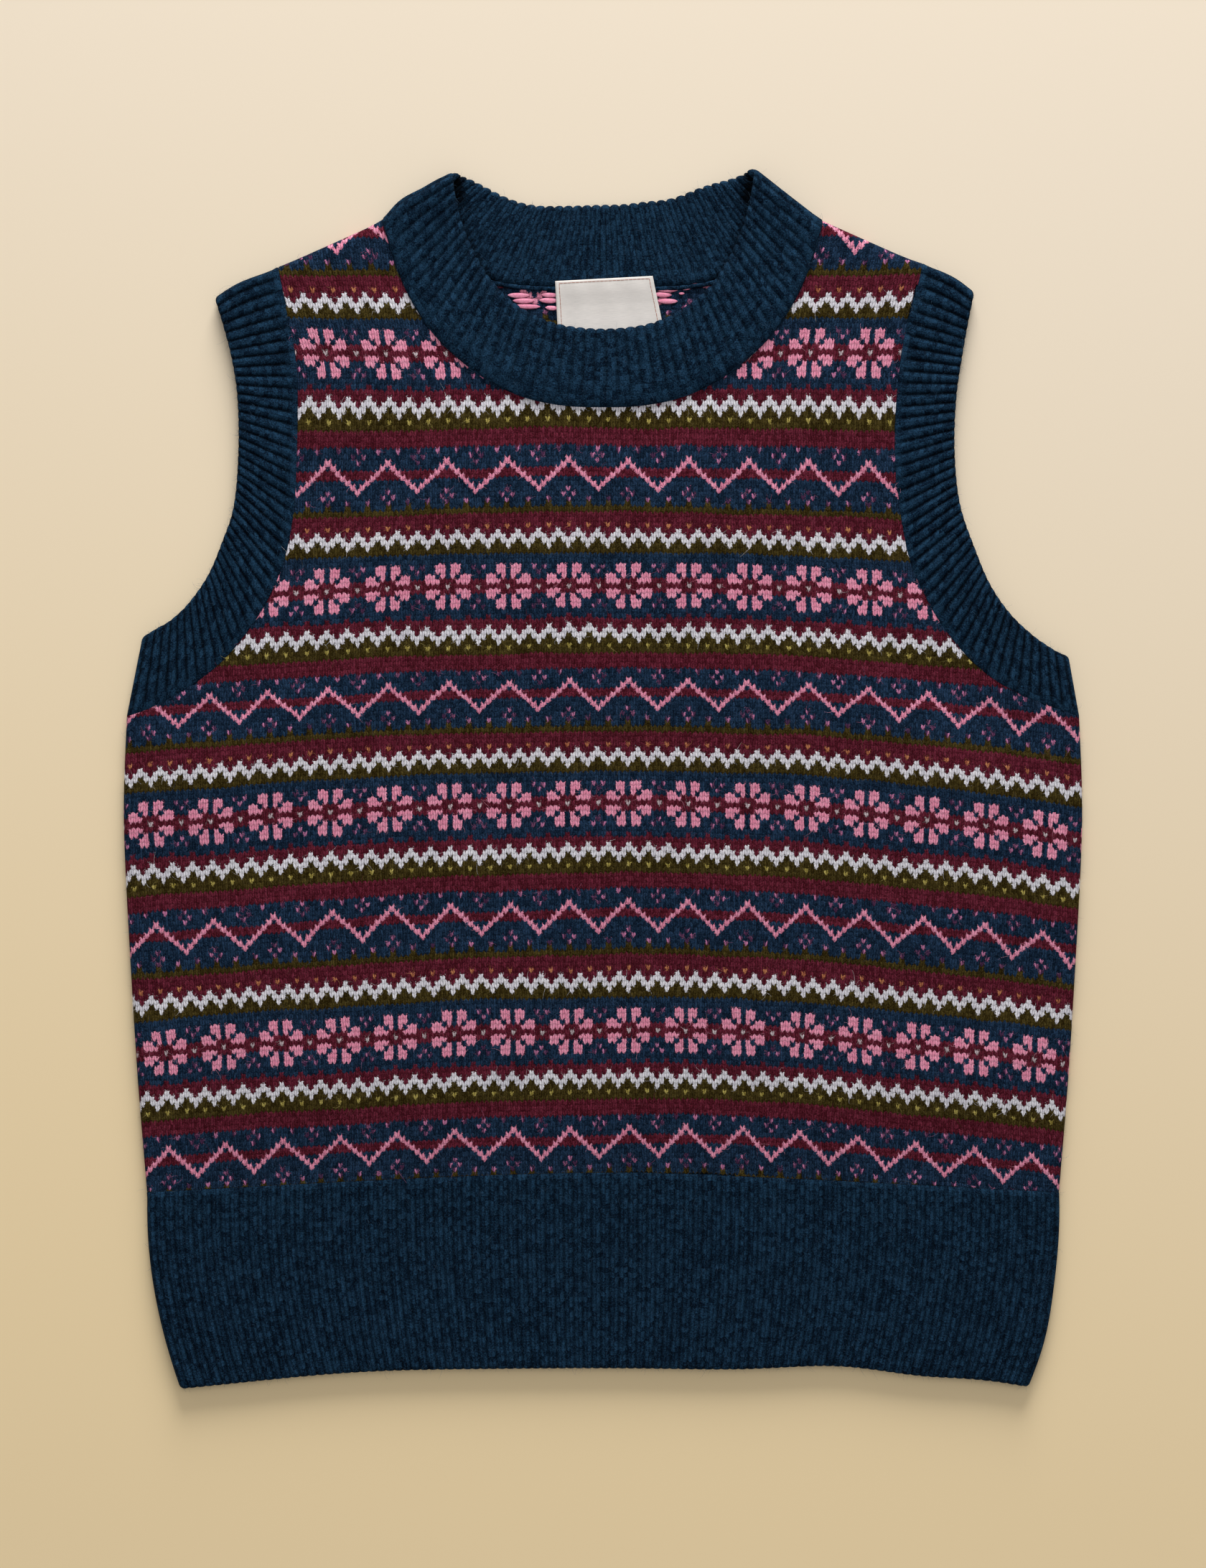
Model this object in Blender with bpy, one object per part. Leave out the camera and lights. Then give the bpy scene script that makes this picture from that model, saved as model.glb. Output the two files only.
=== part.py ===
"""Fair isle sweater vest, laid flat on its back panel.

The vest is knitted cloth throughout. Its pieces lie on each other as they do on a table: the
back panel and the back halves of the ribbed bands underneath, the front panel and the front
halves on top. Each ribbed band is one closed loop, folded over where it turns from front to back.

Lengths are in millimetres until a mesh is made. X runs across the chest, Y from the hem to the
neck and Z up from the surface. The origin is on the surface, under the middle of the vest.
Left and right are the wearer's, so the left side is at +X.
"""

import math

import bmesh
import bpy
from mathutils import Vector

MM = 0.001
COLLECTION = "fair_isle_sweater_vest"

# Cloth
PANEL_CLOTH = 3.0  # stranded knitting with its floats
BAND_CLOTH = 3.0  # single rib, half way between ridge and furrow
NECK_CLOTH = 4.5  # rib folded double
LABEL_CLOTH = 0.4
LAYER_GAP = 0.9  # between the back layer and the front layer
NECK_GAP = 0.5  # the same inside the neckband
SEAM_GAP = 0.3
FRONT_RISE = 2.2  # how far the middle of the front stands above its edges
RISE_WIDTH = 55.0  # over which it climbs from an edge

# Ribs
RIB_DEPTH = 1.1
HEM_RIBS = 97
RIGHT_ARM_RIBS = 41
LEFT_ARM_RIBS = 43
NECK_FRONT_RIBS = 48
NECK_BACK_RIBS = 32
PLAIN_STEPS = 14  # across the half of a band that lies underneath
EDGE_ROUND = 1.0  # the free edge of a band is rounded over this width
RIB_OVERHANG = 0.5  # a ridge stands past the free edge by this much

# Panel mesh
BODY_ROWS = 8  # hem seam to underarm
YOKE_ROWS = 30  # underarm to shoulder
FRONT_CHEST_ROWS = 15  # of the yoke rows, those below the front neck seam
BACK_CHEST_ROWS = 19
FRONT_COLUMNS = 7  # across half a panel
BACK_COLUMNS = 5
FOLD_ANGLES = (0.0, 30.0, 60.0, 90.0)  # round the quarter turn at a side or shoulder

# Hem rib: the seam above it, its middle and its free edge
HEM_LINES = (
    # centre_y, side_x, side_drop, flat_width
    (-188.8, 219.4, 9.5, 52.0),
    (-236.0, 216.4, 8.5, 110.0),
    (-282.9, 203.6, 10.2, 180.0),
)

# Side fold of the body, from the hem seam to the underarm
SIDE_FOLD = (
    # x, y
    (219.4, -198.3),
    (223.7, -146.0),
    (227.2, -91.0),
    (230.1, -36.0),
    (230.5, -6.0),
    (229.1, 30.2),
)

# Armbands, from the shoulder to the underarm
RIGHT_ARMHOLE = (
    # seam_x, seam_y, edge_x, edge_y
    (-156.3, 246.3, -186.3, 231.0),
    (-152.5, 227.7, -182.3, 217.5),
    (-147.7, 203.2, -178.3, 201.5),
    (-146.6, 180.8, -175.7, 183.0),
    (-147.1, 154.6, -175.3, 157.0),
    (-148.7, 128.3, -177.5, 131.5),
    (-153.0, 105.9, -183.0, 114.5),
    (-162.0, 84.5, -190.0, 98.0),
    (-175.6, 64.9, -199.5, 84.5),
    (-188.7, 51.7, -208.0, 76.5),
    (-203.9, 41.5, -214.0, 73.0),
    (-217.7, 34.3, -218.3, 70.4),
    (-229.1, 30.2, -221.5, 68.7),
)
LEFT_ARMHOLE = (
    # seam_x, seam_y, edge_x, edge_y
    (153.2, 247.6, 177.8, 233.6),
    (148.9, 228.5, 175.2, 218.5),
    (143.9, 208.7, 172.6, 203.0),
    (141.1, 184.6, 169.9, 184.0),
    (140.1, 160.1, 169.0, 159.0),
    (141.9, 135.9, 171.5, 133.0),
    (146.6, 108.0, 178.8, 111.0),
    (153.2, 91.1, 186.3, 93.5),
    (162.8, 74.2, 196.0, 79.5),
    (175.6, 58.5, 206.5, 69.5),
    (189.5, 47.0, 213.8, 64.3),
    (205.6, 38.8, 219.3, 61.0),
    (229.1, 30.2, 223.9, 59.3),
)

# Neckband, half of it, from the middle to the shoulder
FRONT_NECK = (
    # seam_x, seam_y, edge_x, edge_y
    (0.0, 179.4, 0.0, 216.3),
    (18.6, 180.1, 11.0, 216.9),
    (37.3, 183.9, 22.5, 218.9),
    (54.2, 191.6, 34.0, 223.4),
    (69.0, 202.3, 45.0, 230.7),
    (81.2, 214.4, 54.5, 240.8),
    (90.3, 227.7, 61.8, 252.9),
    (96.8, 241.0, 67.0, 265.0),
    (101.5, 254.5, 70.6, 279.0),
    (105.6, 268.8, 72.8, 293.6),
)
BACK_NECK = (
    # seam_x, seam_y, edge_x, edge_y
    (0.0, 237.7, 0.0, 276.3),
    (24.0, 237.7, 16.5, 276.1),
    (46.0, 239.3, 32.0, 277.2),
    (66.0, 245.0, 46.5, 281.0),
    (86.0, 255.5, 60.5, 287.2),
    (105.6, 268.8, 72.8, 293.6),
)

# Label, sewn to the lower edge of the back neckband
LABEL_WIDTH = 47.0
LABEL_MIDDLE_X = 0.6
LABEL_TILT = math.radians(3.0)
LABEL_SECTIONS = (
    # y above the band's seam, height of the underside, flare of its left side
    (3.2, 4.8, 0.0),
    (-1.6, 4.8, 0.7),
    (-5.0, 3.3, 1.2),
    (-24.0, 3.3, 4.0),
)

COLOURS = {
    # name: base colour, roughness
    "wine": ((0.150, 0.018, 0.040), 0.9),
    "navy": ((0.022, 0.032, 0.055), 0.9),
    "satin": ((0.780, 0.740, 0.660), 0.45),
}


# Plan curves


def smooth_curve(points, count, samples_per_span=12):
    """Evenly spaced points, count + 1 of them, on a smooth curve through the given ones."""
    knots = [Vector(point) for point in points]
    dense = []
    for index in range(len(knots) - 1):
        start, end = knots[index], knots[index + 1]
        before = knots[index - 1] if index > 0 else start * 2 - end
        after = knots[index + 2] if index + 2 < len(knots) else end * 2 - start
        for step in range(samples_per_span):
            t = step / samples_per_span
            dense.append(0.5 * (2 * start + (end - before) * t
                                + (2 * before - 5 * start + 4 * end - after) * t ** 2
                                + (3 * start - before - 3 * end + after) * t ** 3))
    dense.append(knots[-1])
    return resample(dense, [index / count for index in range(count + 1)])


def resample(path, shares):
    """The points at the given shares of a path's length."""
    lengths = [0.0]
    for start, end in zip(path, path[1:]):
        lengths.append(lengths[-1] + (end - start).length)
    found = []
    index = 0
    for share in shares:
        target = share * lengths[-1]
        while index < len(path) - 2 and lengths[index + 1] < target:
            index += 1
        span = max(lengths[index + 1] - lengths[index], 1e-9)
        found.append(path[index].lerp(path[index + 1], (target - lengths[index]) / span))
    return found


def seam_points(table):
    return [(row[0], row[1]) for row in table]


def edge_points(table):
    return [(row[2], row[3]) for row in table]


def mirrored(points):
    return [Vector((-point[0], point[1])) for point in points]


def both_halves(points):
    """A curve given from the middle outwards at +X, run from the right side to the left."""
    return mirrored(points[:0:-1]) + [Vector(point) for point in points]


def bow(share, half_width, flat_width):
    """A line's drop towards the side, from 0 in the middle to 1, nearly flat over flat_width."""
    return ((math.hypot(share * half_width, flat_width) - flat_width)
            / (math.hypot(half_width, flat_width) - flat_width))


def hem_point(line, share):
    """A point on one line of the hem rib, from share -1 at the right side to 1 at the left."""
    centre_y, side_x, side_drop, flat_width = line
    return Vector((side_x * share, centre_y - side_drop * bow(abs(share), side_x, flat_width)))


# Heights


HALF_HEIGHT = PANEL_CLOTH + LAYER_GAP / 2  # from the surface to midway between the panels


def ease(share):
    """0 to 1 with a level start and end."""
    share = min(max(share, 0.0), 1.0)
    return share * share * (3 - 2 * share)


def turn(distance, radius):
    """Height on a quarter circle, from 0 at a fold's edge to the radius inside it."""
    inside = max(radius - distance, 0.0)
    return math.sqrt(max(radius ** 2 - inside ** 2, 0.0))


# Meshes


def mesh_object(name, material_name, vertices, faces):
    """One named part from vertices in millimetres, with its faces turned outwards."""
    mesh = bpy.data.meshes.new(name)
    mesh.from_pydata([tuple(Vector(vertex) * MM) for vertex in vertices], [], faces)
    shape = bmesh.new()
    shape.from_mesh(mesh)
    bmesh.ops.recalc_face_normals(shape, faces=shape.faces)
    shape.to_mesh(mesh)
    shape.free()
    mesh.shade_smooth()
    mesh.set_sharp_from_angle(angle=math.radians(40))
    mesh.materials.append(material(name, material_name))
    part = bpy.data.objects.new(name, mesh)
    bpy.data.collections[COLLECTION].objects.link(part)
    return part


def material(name, colour_name):
    colour, roughness = COLOURS[colour_name]
    made = bpy.data.materials.new(name)
    made.use_nodes = True
    shader = made.node_tree.nodes["Principled BSDF"]
    shader.inputs["Base Color"].default_value = (*colour, 1.0)
    shader.inputs["Roughness"].default_value = roughness
    shader.inputs["Metallic"].default_value = 0.0
    return made


def wall(name, material_name, outer, inner, faces):
    """A closed wall between an outer surface and the inner one that lies behind it."""
    count = len(outer)
    walls = list(faces)
    walls += [tuple(count + index for index in reversed(face)) for face in faces]
    directed = {(face[k], face[(k + 1) % len(face)]) for face in faces for k in range(len(face))}
    walls += [(start, start + count, end + count, end)
              for start, end in sorted(directed) if (end, start) not in directed]
    return mesh_object(name, material_name, list(outer) + list(inner), walls)


def ring(name, material_name, sections):
    """A closed loop of cloth lofted through sections that all have as many points."""
    points = len(sections[0])
    vertices = [vertex for section in sections for vertex in section]
    faces = []
    for index in range(len(sections)):
        here = index * points
        there = (index + 1) % len(sections) * points
        for k in range(points):
            after = (k + 1) % points
            faces.append((here + k, here + after, there + after, there + k))
    return mesh_object(name, material_name, vertices, faces)


# Panels


def fold_steps():
    """Distances in from a fold's edge, round its quarter turn."""
    return [HALF_HEIGHT * (1 - math.cos(math.radians(angle))) for angle in FOLD_ANGLES]


def row_shares():
    """Where the yoke rows lie along the armhole: close together at the two folds."""
    armhole = smooth_curve(seam_points(RIGHT_ARMHOLE), YOKE_ROWS)
    length = sum((end - start).length for start, end in zip(armhole, armhole[1:]))
    fold = [step / length for step in fold_steps()]
    middle = [row / YOKE_ROWS for row in range(1, YOKE_ROWS)]
    return [fold[-1]] + middle + [1 - share for share in reversed(fold)]


def side_edge(armhole, side):
    """The outer edge of half a panel: its side fold, then its armhole seam up to the shoulder."""
    body = smooth_curve([(side * x, y) for x, y in SIDE_FOLD], BODY_ROWS)
    seam = smooth_curve(seam_points(armhole)[::-1], YOKE_ROWS * 4)
    return body + resample(seam, row_shares())


def middle_edge(neck, chest_rows, side):
    """The inner edge of half a panel: the centre line, then its neck seam up to the shoulder."""
    bottom = HEM_LINES[0][0]
    underarm = SIDE_FOLD[-1][1] + HEM_LINES[0][2]
    neck_y = neck[0][1]
    chest_share = chest_rows / YOKE_ROWS
    seam = smooth_curve([(side * x, y) for x, y in seam_points(neck)], YOKE_ROWS * 4)
    edge = [Vector((0.0, bottom + (underarm - bottom) * row / BODY_ROWS))
            for row in range(BODY_ROWS + 1)]
    for share in row_shares():
        if share <= chest_share:
            edge.append(Vector((0.0, underarm + (neck_y - underarm) * share / chest_share)))
        else:
            edge.extend(resample(seam, [(share - chest_share) / (1 - chest_share)]))
    return edge


def rung(start, end, columns, level):
    """Points across half a panel, from its outer edge to its inner one, and their distances."""
    way = end - start
    width = way.length
    folded = fold_steps()
    plain = [folded[-1] + (width - folded[-1]) * column / columns
             for column in range(1, columns + 1)]
    points = []
    for across in folded + plain:
        from_middle = 1 - across / width
        curve = bow(from_middle, width, HEM_LINES[0][3]) - from_middle
        drop = (start.y - end.y) * curve * level
        points.append((start + way * (across / width) + Vector((0.0, drop)), across))
    return points


def panel_half(armhole, neck, chest_rows, columns, side):
    """Rows of places across half a panel, and the number of the row at the neck's lowest point.

    A place has its plan point, its distance inside the nearest fold, the vector that its inner
    surface is moved by, and how far it rises on the front.
    """
    outer_edge = side_edge(armhole, side)
    inner_edge = middle_edge(neck, chest_rows, side)
    shoulder = (inner_edge[-1] - outer_edge[-1]).normalized()
    below = Vector((shoulder.y, -shoulder.x)) * -side
    neck_row = BODY_ROWS + 1 + sum(share <= chest_rows / YOKE_ROWS for share in row_shares())
    neck_seam = inner_edge[neck_row - 1:]
    rungs = []
    for index, (start, end) in enumerate(zip(outer_edge, inner_edge)):
        level = 1.0 if index <= BODY_ROWS else ease((neck_row - index) / (neck_row - BODY_ROWS))
        rungs.append(rung(start, end, columns, level))
    side_base = len(FOLD_ANGLES) - 1
    top_base = len(rungs) - len(FOLD_ANGLES)
    hollow = 1 - LAYER_GAP / 2 / HALF_HEIGHT
    rows = []
    for index, points in enumerate(rungs):
        row = []
        for column, (point, across) in enumerate(points):
            under_shoulder = (point - outer_edge[-1]).dot(below)
            inside, base, base_inside = HALF_HEIGHT, point, 0.0
            if index <= BODY_ROWS and across < HALF_HEIGHT:
                inside, base, base_inside = across, points[side_base][0], HALF_HEIGHT
            elif index > top_base and under_shoulder < HALF_HEIGHT:
                base = rungs[top_base][column][0]
                inside, base_inside = under_shoulder, (base - outer_edge[-1]).dot(below)
            shift = Vector((0.0, 0.0))
            if inside < HALF_HEIGHT:
                depth = (HALF_HEIGHT - inside) / (base_inside - inside)
                shift = (base - point) * depth * hollow
            to_neck = min((point - spot).length for spot in neck_seam)
            to_hem = point.y - outer_edge[0].y if index <= BODY_ROWS else RISE_WIDTH
            rise = FRONT_RISE
            for room in (across, to_neck, under_shoulder, to_hem):
                rise *= ease(room / RISE_WIDTH)
            row.append((point, inside, shift, rise))
        rows.append(row)
    return rows, neck_row


def panel(name, neck, chest_rows, columns, upward):
    """The front or back: one wall, split in two above the neck's lowest point."""
    parting = SEAM_GAP / 2
    right, neck_row = panel_half(RIGHT_ARMHOLE, neck, chest_rows, columns, -1)
    left, _ = panel_half(LEFT_ARMHOLE, neck, chest_rows, columns, 1)
    outer = []
    inner = []
    numbers = {}

    def number(half, row, column):
        """The vertex at this place, made on its first use; both halves share the centre."""
        key = (half, row, column)
        if column == len(right[row]) - 1 and row < neck_row:
            key = ("centre", row, column)
        if key not in numbers:
            numbers[key] = len(outer)
            point, inside, shift, rise = (right if half == "right" else left)[row][column]
            height = turn(inside, HALF_HEIGHT) / HALF_HEIGHT
            lift = HALF_HEIGHT + (rise if upward > 0 else 0.0)
            outer_z = lift + upward * (parting + (HALF_HEIGHT - parting) * height)
            inner_z = lift + upward * (parting + (LAYER_GAP / 2 - parting) * height)
            outer.append((point.x, point.y, outer_z))
            inner.append((point.x + shift.x, point.y + shift.y, inner_z))
        return numbers[key]

    faces = []
    for half, order in (("right", 1), ("left", -1)):
        for row in range(len(right) - 1):
            for column in range(len(right[0]) - 1):
                corners = (number(half, row, column), number(half, row, column + 1),
                           number(half, row + 1, column + 1), number(half, row + 1, column))
                faces.append(corners[::order * upward])
    return wall(name, "wine", outer, inner, faces)


# Bands


class Layers:
    """The heights of a folded band: how far its two faces stand from its middle plane."""

    def __init__(self, cloth, gap):
        self.hollow = gap / 2
        self.middle_z = cloth + gap / 2


def section(outer_line, inner_line, angle, layers, ridge, furrow, overhang):
    """One strip of cloth across a band, from its seam to its free edge and back.

    The lines are plan lines from the seam to the free edge. The angle is 90 degrees on the
    front, 0 at the edge of a fold and -90 degrees on the back.
    """
    along = (outer_line[-1] - outer_line[-2]).normalized()
    seam_shift = (outer_line[-1] - outer_line[0]).normalized() * SEAM_GAP
    outer_radius = layers.middle_z + ridge
    inner_radius = layers.hollow + furrow

    def place(point, radius):
        return (point.x, point.y, layers.middle_z + radius * math.sin(angle))

    outside = [place(outer_line[0] + seam_shift, outer_radius)]
    outside += [place(point, outer_radius) for point in outer_line[1:-1]]
    outside.append(place(outer_line[-1] - along * EDGE_ROUND, outer_radius))
    tip = (outer_line[-1] + inner_line[-1]) / 2 + along * overhang
    inside = [place(inner_line[-1] - along * EDGE_ROUND / 2, inner_radius)]
    inside += [place(point, inner_radius) for point in reversed(inner_line[1:-1])]
    inside.append(place(inner_line[0] + seam_shift, inner_radius))
    return outside + [place(tip, (outer_radius + inner_radius) / 2)] + inside


def ways_in(line, next_line):
    """For each point of a fold's line, the step along its curve that leads 1 mm square in."""
    along = (line[-1] - line[0]).normalized()
    square = Vector((along.y, -along.x))
    steps = [after - here for here, after in zip(line, next_line)]
    return [step / step.dot(square) for step in steps] if steps[0].dot(square) > 0 else [
        step / step.dot(-square) for step in steps]


def fold(line, front_ways, back_ways, layers):
    """Sections round a fold with the given edge, from the front to the back."""
    sections = []
    for step, degrees in enumerate((90, 60, 30, 0, -30, -60, -90)):
        angle = math.radians(degrees)
        ways = front_ways if degrees > 0 else back_ways
        ridge = RIB_DEPTH * (0.5 if step % 2 == 0 else -0.5) * ease((degrees + 60) / 120)
        lines = []
        for radius in (layers.middle_z, layers.hollow):
            room = layers.middle_z - radius * math.cos(angle)
            lines.append([point + way * room for point, way in zip(line, ways)])
        sections.append(section(*lines, angle, layers, ridge, 0.0, 0.0))
    return sections


class HalfBand:
    """One half of a band in plan, between its two folds."""

    def __init__(self, curves, layers):
        self.paths = [smooth_curve(curve, 160) for curve in curves]
        self.lengths = [sum((b - a).length for a, b in zip(path, path[1:]))
                        for path in self.paths]
        near = [layers.middle_z / length for length in self.lengths]
        self.start = [path[0] for path in self.paths]
        self.end = [path[-1] for path in self.paths]
        self.start_ways = ways_in(self.start, self.across(near))
        self.end_ways = ways_in(self.end, self.across([1 - share for share in near]))
        self.rooms = [
            (layers.middle_z * first.length / length, layers.middle_z * last.length / length)
            for first, last, length in zip(self.start_ways, self.end_ways, self.lengths)]

    def across(self, shares):
        """The line across the band at one share of each curve's length."""
        return [resample(path, [share])[0] for path, share in zip(self.paths, shares)]

    def lines(self, count):
        """Lines across the band at even steps, clear of its folds."""
        return [self.across([first + (1 - first - last) * (step + 0.5) / count
                             for first, last in self.rooms]) for step in range(count)]


def band(name, front_curves, back_curves, front_ribs, back_ribs, layers):
    """A ribbed loop: its front half, the fold at its end, its back half and the first fold.

    The ribs stand on the front of it. With back_ribs, the back half has them on its upper face.
    """
    front = HalfBand(front_curves, layers)
    back = HalfBand(back_curves, layers)
    front_lines = front.lines(front_ribs * 2)
    back_lines = back.lines(back_ribs * 2 or PLAIN_STEPS)
    sections = []
    for step, line in enumerate(front_lines):
        ridge = 0.5 if step % 2 else -0.5
        sections.append(section(line, line, math.radians(90), layers, RIB_DEPTH * ridge, 0.0,
                                RIB_OVERHANG * ridge))
    sections += fold(front.end, front.end_ways, back.end_ways, layers)
    for step, line in enumerate(reversed(back_lines)):
        furrow = RIB_DEPTH * (step % 2) if back_ribs else 0.0
        sections.append(section(line, line, math.radians(-90), layers, 0.0, furrow,
                                -RIB_OVERHANG * furrow))
    sections += fold(front.start, front.start_ways, back.start_ways, layers)[::-1]
    return ring(name, "navy", sections)


def armband(name, armhole, ribs):
    curves = [seam_points(armhole), edge_points(armhole)]
    return band(name, curves, curves, ribs, 0, Layers(BAND_CLOTH, LAYER_GAP))


def neckband():
    front = [both_halves(seam_points(FRONT_NECK)), both_halves(edge_points(FRONT_NECK))]
    back = [both_halves(seam_points(BACK_NECK)), both_halves(edge_points(BACK_NECK))]
    layers = Layers(NECK_CLOTH, NECK_GAP)
    return band("neckband", front, back, NECK_FRONT_RIBS, NECK_BACK_RIBS, layers)


def hem_rib():
    shares = [step / 40 - 1 for step in range(81)]
    curves = [[hem_point(line, share) for share in shares] for line in HEM_LINES]
    return band("hem_rib", curves, curves, HEM_RIBS, 0, Layers(BAND_CLOTH, LAYER_GAP))


# Label


def label():
    """A plain woven label that leans from the neckband's edge down to the back panel."""
    seam_y = BACK_NECK[0][1]
    across = Vector((math.cos(LABEL_TILT), math.sin(LABEL_TILT)))
    down = Vector((across.y, -across.x))
    under = []
    over = []
    for distance, height, flare in LABEL_SECTIONS:
        middle = Vector((LABEL_MIDDLE_X, seam_y)) - down * distance
        for reach in (-LABEL_WIDTH / 2, LABEL_WIDTH / 2 + flare):
            corner = middle + across * reach
            under.append((corner.x, corner.y, height))
            over.append((corner.x, corner.y, height + LABEL_CLOTH))
    faces = [(2 * row, 2 * row + 1, 2 * row + 3, 2 * row + 2)
             for row in range(len(LABEL_SECTIONS) - 1)]
    return wall("label", "satin", over, under, faces)


def clear_scene():
    for item in list(bpy.data.objects):
        bpy.data.objects.remove(item, do_unlink=True)
    for group in list(bpy.data.collections):
        bpy.data.collections.remove(group)


def main():
    clear_scene()
    group = bpy.data.collections.new(COLLECTION)
    bpy.context.scene.collection.children.link(group)
    panel("back_panel", BACK_NECK, BACK_CHEST_ROWS, BACK_COLUMNS, -1)
    panel("front_panel", FRONT_NECK, FRONT_CHEST_ROWS, FRONT_COLUMNS, 1)
    hem_rib()
    armband("right_armband", RIGHT_ARMHOLE, RIGHT_ARM_RIBS)
    armband("left_armband", LEFT_ARMHOLE, LEFT_ARM_RIBS)
    neckband()
    label()


main()
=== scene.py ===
"""Fair isle sweater vest laid flat: knitted panels and bands, a bare label, fibres and stage."""

import math

import bpy
import numpy as np
from bpy.props import FloatProperty, FloatVectorProperty, IntProperty, PointerProperty
from bpy.types import Operator, Panel, PropertyGroup
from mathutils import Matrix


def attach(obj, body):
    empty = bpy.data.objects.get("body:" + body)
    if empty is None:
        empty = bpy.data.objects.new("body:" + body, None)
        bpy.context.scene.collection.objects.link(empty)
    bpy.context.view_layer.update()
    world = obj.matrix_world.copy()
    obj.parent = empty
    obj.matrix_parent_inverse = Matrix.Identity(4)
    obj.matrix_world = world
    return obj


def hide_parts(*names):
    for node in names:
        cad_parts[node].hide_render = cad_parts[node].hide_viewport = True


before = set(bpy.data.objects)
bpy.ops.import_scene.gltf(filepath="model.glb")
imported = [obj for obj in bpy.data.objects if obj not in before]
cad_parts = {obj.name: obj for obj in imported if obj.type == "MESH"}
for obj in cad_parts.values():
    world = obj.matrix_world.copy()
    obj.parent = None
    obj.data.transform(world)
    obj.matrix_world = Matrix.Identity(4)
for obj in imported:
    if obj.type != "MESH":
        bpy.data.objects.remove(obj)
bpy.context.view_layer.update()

bl_info = {
    "name": "Fair Isle Sweater Vest",
    "version": (1, 0, 0),
    "blender": (4, 5, 0),
    "location": "View3D > Sidebar > Knitwear",
    "description": "Knits a fair isle sweater vest, laid flat, from its stitch chart and rib sizes",
    "category": "Mesh",
}

MM = 0.001
UV_NAME = "knit"

# Outline of the vest in millimetres, as laid flat. Left is the wearer's, at +X.

HEM_LINES = (
    # centre_y, side_x, side_drop, flat_width
    (-188.8, 219.4, 9.5, 52.0),
    (-236.0, 216.4, 8.5, 110.0),
    (-282.9, 203.6, 10.2, 180.0),
)
SIDE_FOLD = (
    # x, y
    (219.4, -198.3),
    (223.7, -146.0),
    (227.2, -91.0),
    (230.1, -36.0),
    (230.5, -6.0),
    (229.1, 30.2),
)
RIGHT_ARMHOLE = (
    # seam_x, seam_y, edge_x, edge_y
    (-156.3, 246.3, -186.3, 231.0),
    (-152.5, 227.7, -182.3, 217.5),
    (-147.7, 203.2, -178.3, 201.5),
    (-146.6, 180.8, -175.7, 183.0),
    (-147.1, 154.6, -175.3, 157.0),
    (-148.7, 128.3, -177.5, 131.5),
    (-153.0, 105.9, -183.0, 114.5),
    (-162.0, 84.5, -190.0, 98.0),
    (-175.6, 64.9, -199.5, 84.5),
    (-188.7, 51.7, -208.0, 76.5),
    (-203.9, 41.5, -214.0, 73.0),
    (-217.7, 34.3, -218.3, 70.4),
    (-229.1, 30.2, -221.5, 68.7),
)
LEFT_ARMHOLE = (
    # seam_x, seam_y, edge_x, edge_y
    (153.2, 247.6, 177.8, 233.6),
    (148.9, 228.5, 175.2, 218.5),
    (143.9, 208.7, 172.6, 203.0),
    (141.1, 184.6, 169.9, 184.0),
    (140.1, 160.1, 169.0, 159.0),
    (141.9, 135.9, 171.5, 133.0),
    (146.6, 108.0, 178.8, 111.0),
    (153.2, 91.1, 186.3, 93.5),
    (162.8, 74.2, 196.0, 79.5),
    (175.6, 58.5, 206.5, 69.5),
    (189.5, 47.0, 213.8, 64.3),
    (205.6, 38.8, 219.3, 61.0),
    (229.1, 30.2, 223.9, 59.3),
)
FRONT_NECK = (
    # seam_x, seam_y, edge_x, edge_y, from the middle to the shoulder
    (0.0, 179.4, 0.0, 216.3),
    (18.6, 180.1, 11.0, 216.9),
    (37.3, 183.9, 22.5, 218.9),
    (54.2, 191.6, 34.0, 223.4),
    (69.0, 202.3, 45.0, 230.7),
    (81.2, 214.4, 54.5, 240.8),
    (90.3, 227.7, 61.8, 252.9),
    (96.8, 241.0, 67.0, 265.0),
    (101.5, 254.5, 70.6, 279.0),
    (105.6, 268.8, 72.8, 293.6),
)
BACK_NECK = (
    # seam_x, seam_y, edge_x, edge_y
    (0.0, 237.7, 0.0, 276.3),
    (24.0, 237.7, 16.5, 276.1),
    (46.0, 239.3, 32.0, 277.2),
    (66.0, 245.0, 46.5, 281.0),
    (86.0, 255.5, 60.5, 287.2),
    (105.6, 268.8, 72.8, 293.6),
)

# Heights: two layers of cloth, one on the other
PANEL_CLOTH = 3.0
NECK_CLOTH = 4.5
LAYER_GAP = 0.9
NECK_GAP = 0.5
PARTING = 0.15  # half the gap where the front meets the back at a fold
FOLD_RADIUS = PANEL_CLOTH + LAYER_GAP / 2
UNFOLD = (math.pi / 2 - 1) * FOLD_RADIUS  # cloth in a quarter turn, past its width seen from above

# The yarns. The fuzz of each creeps a little over those further down.

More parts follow.
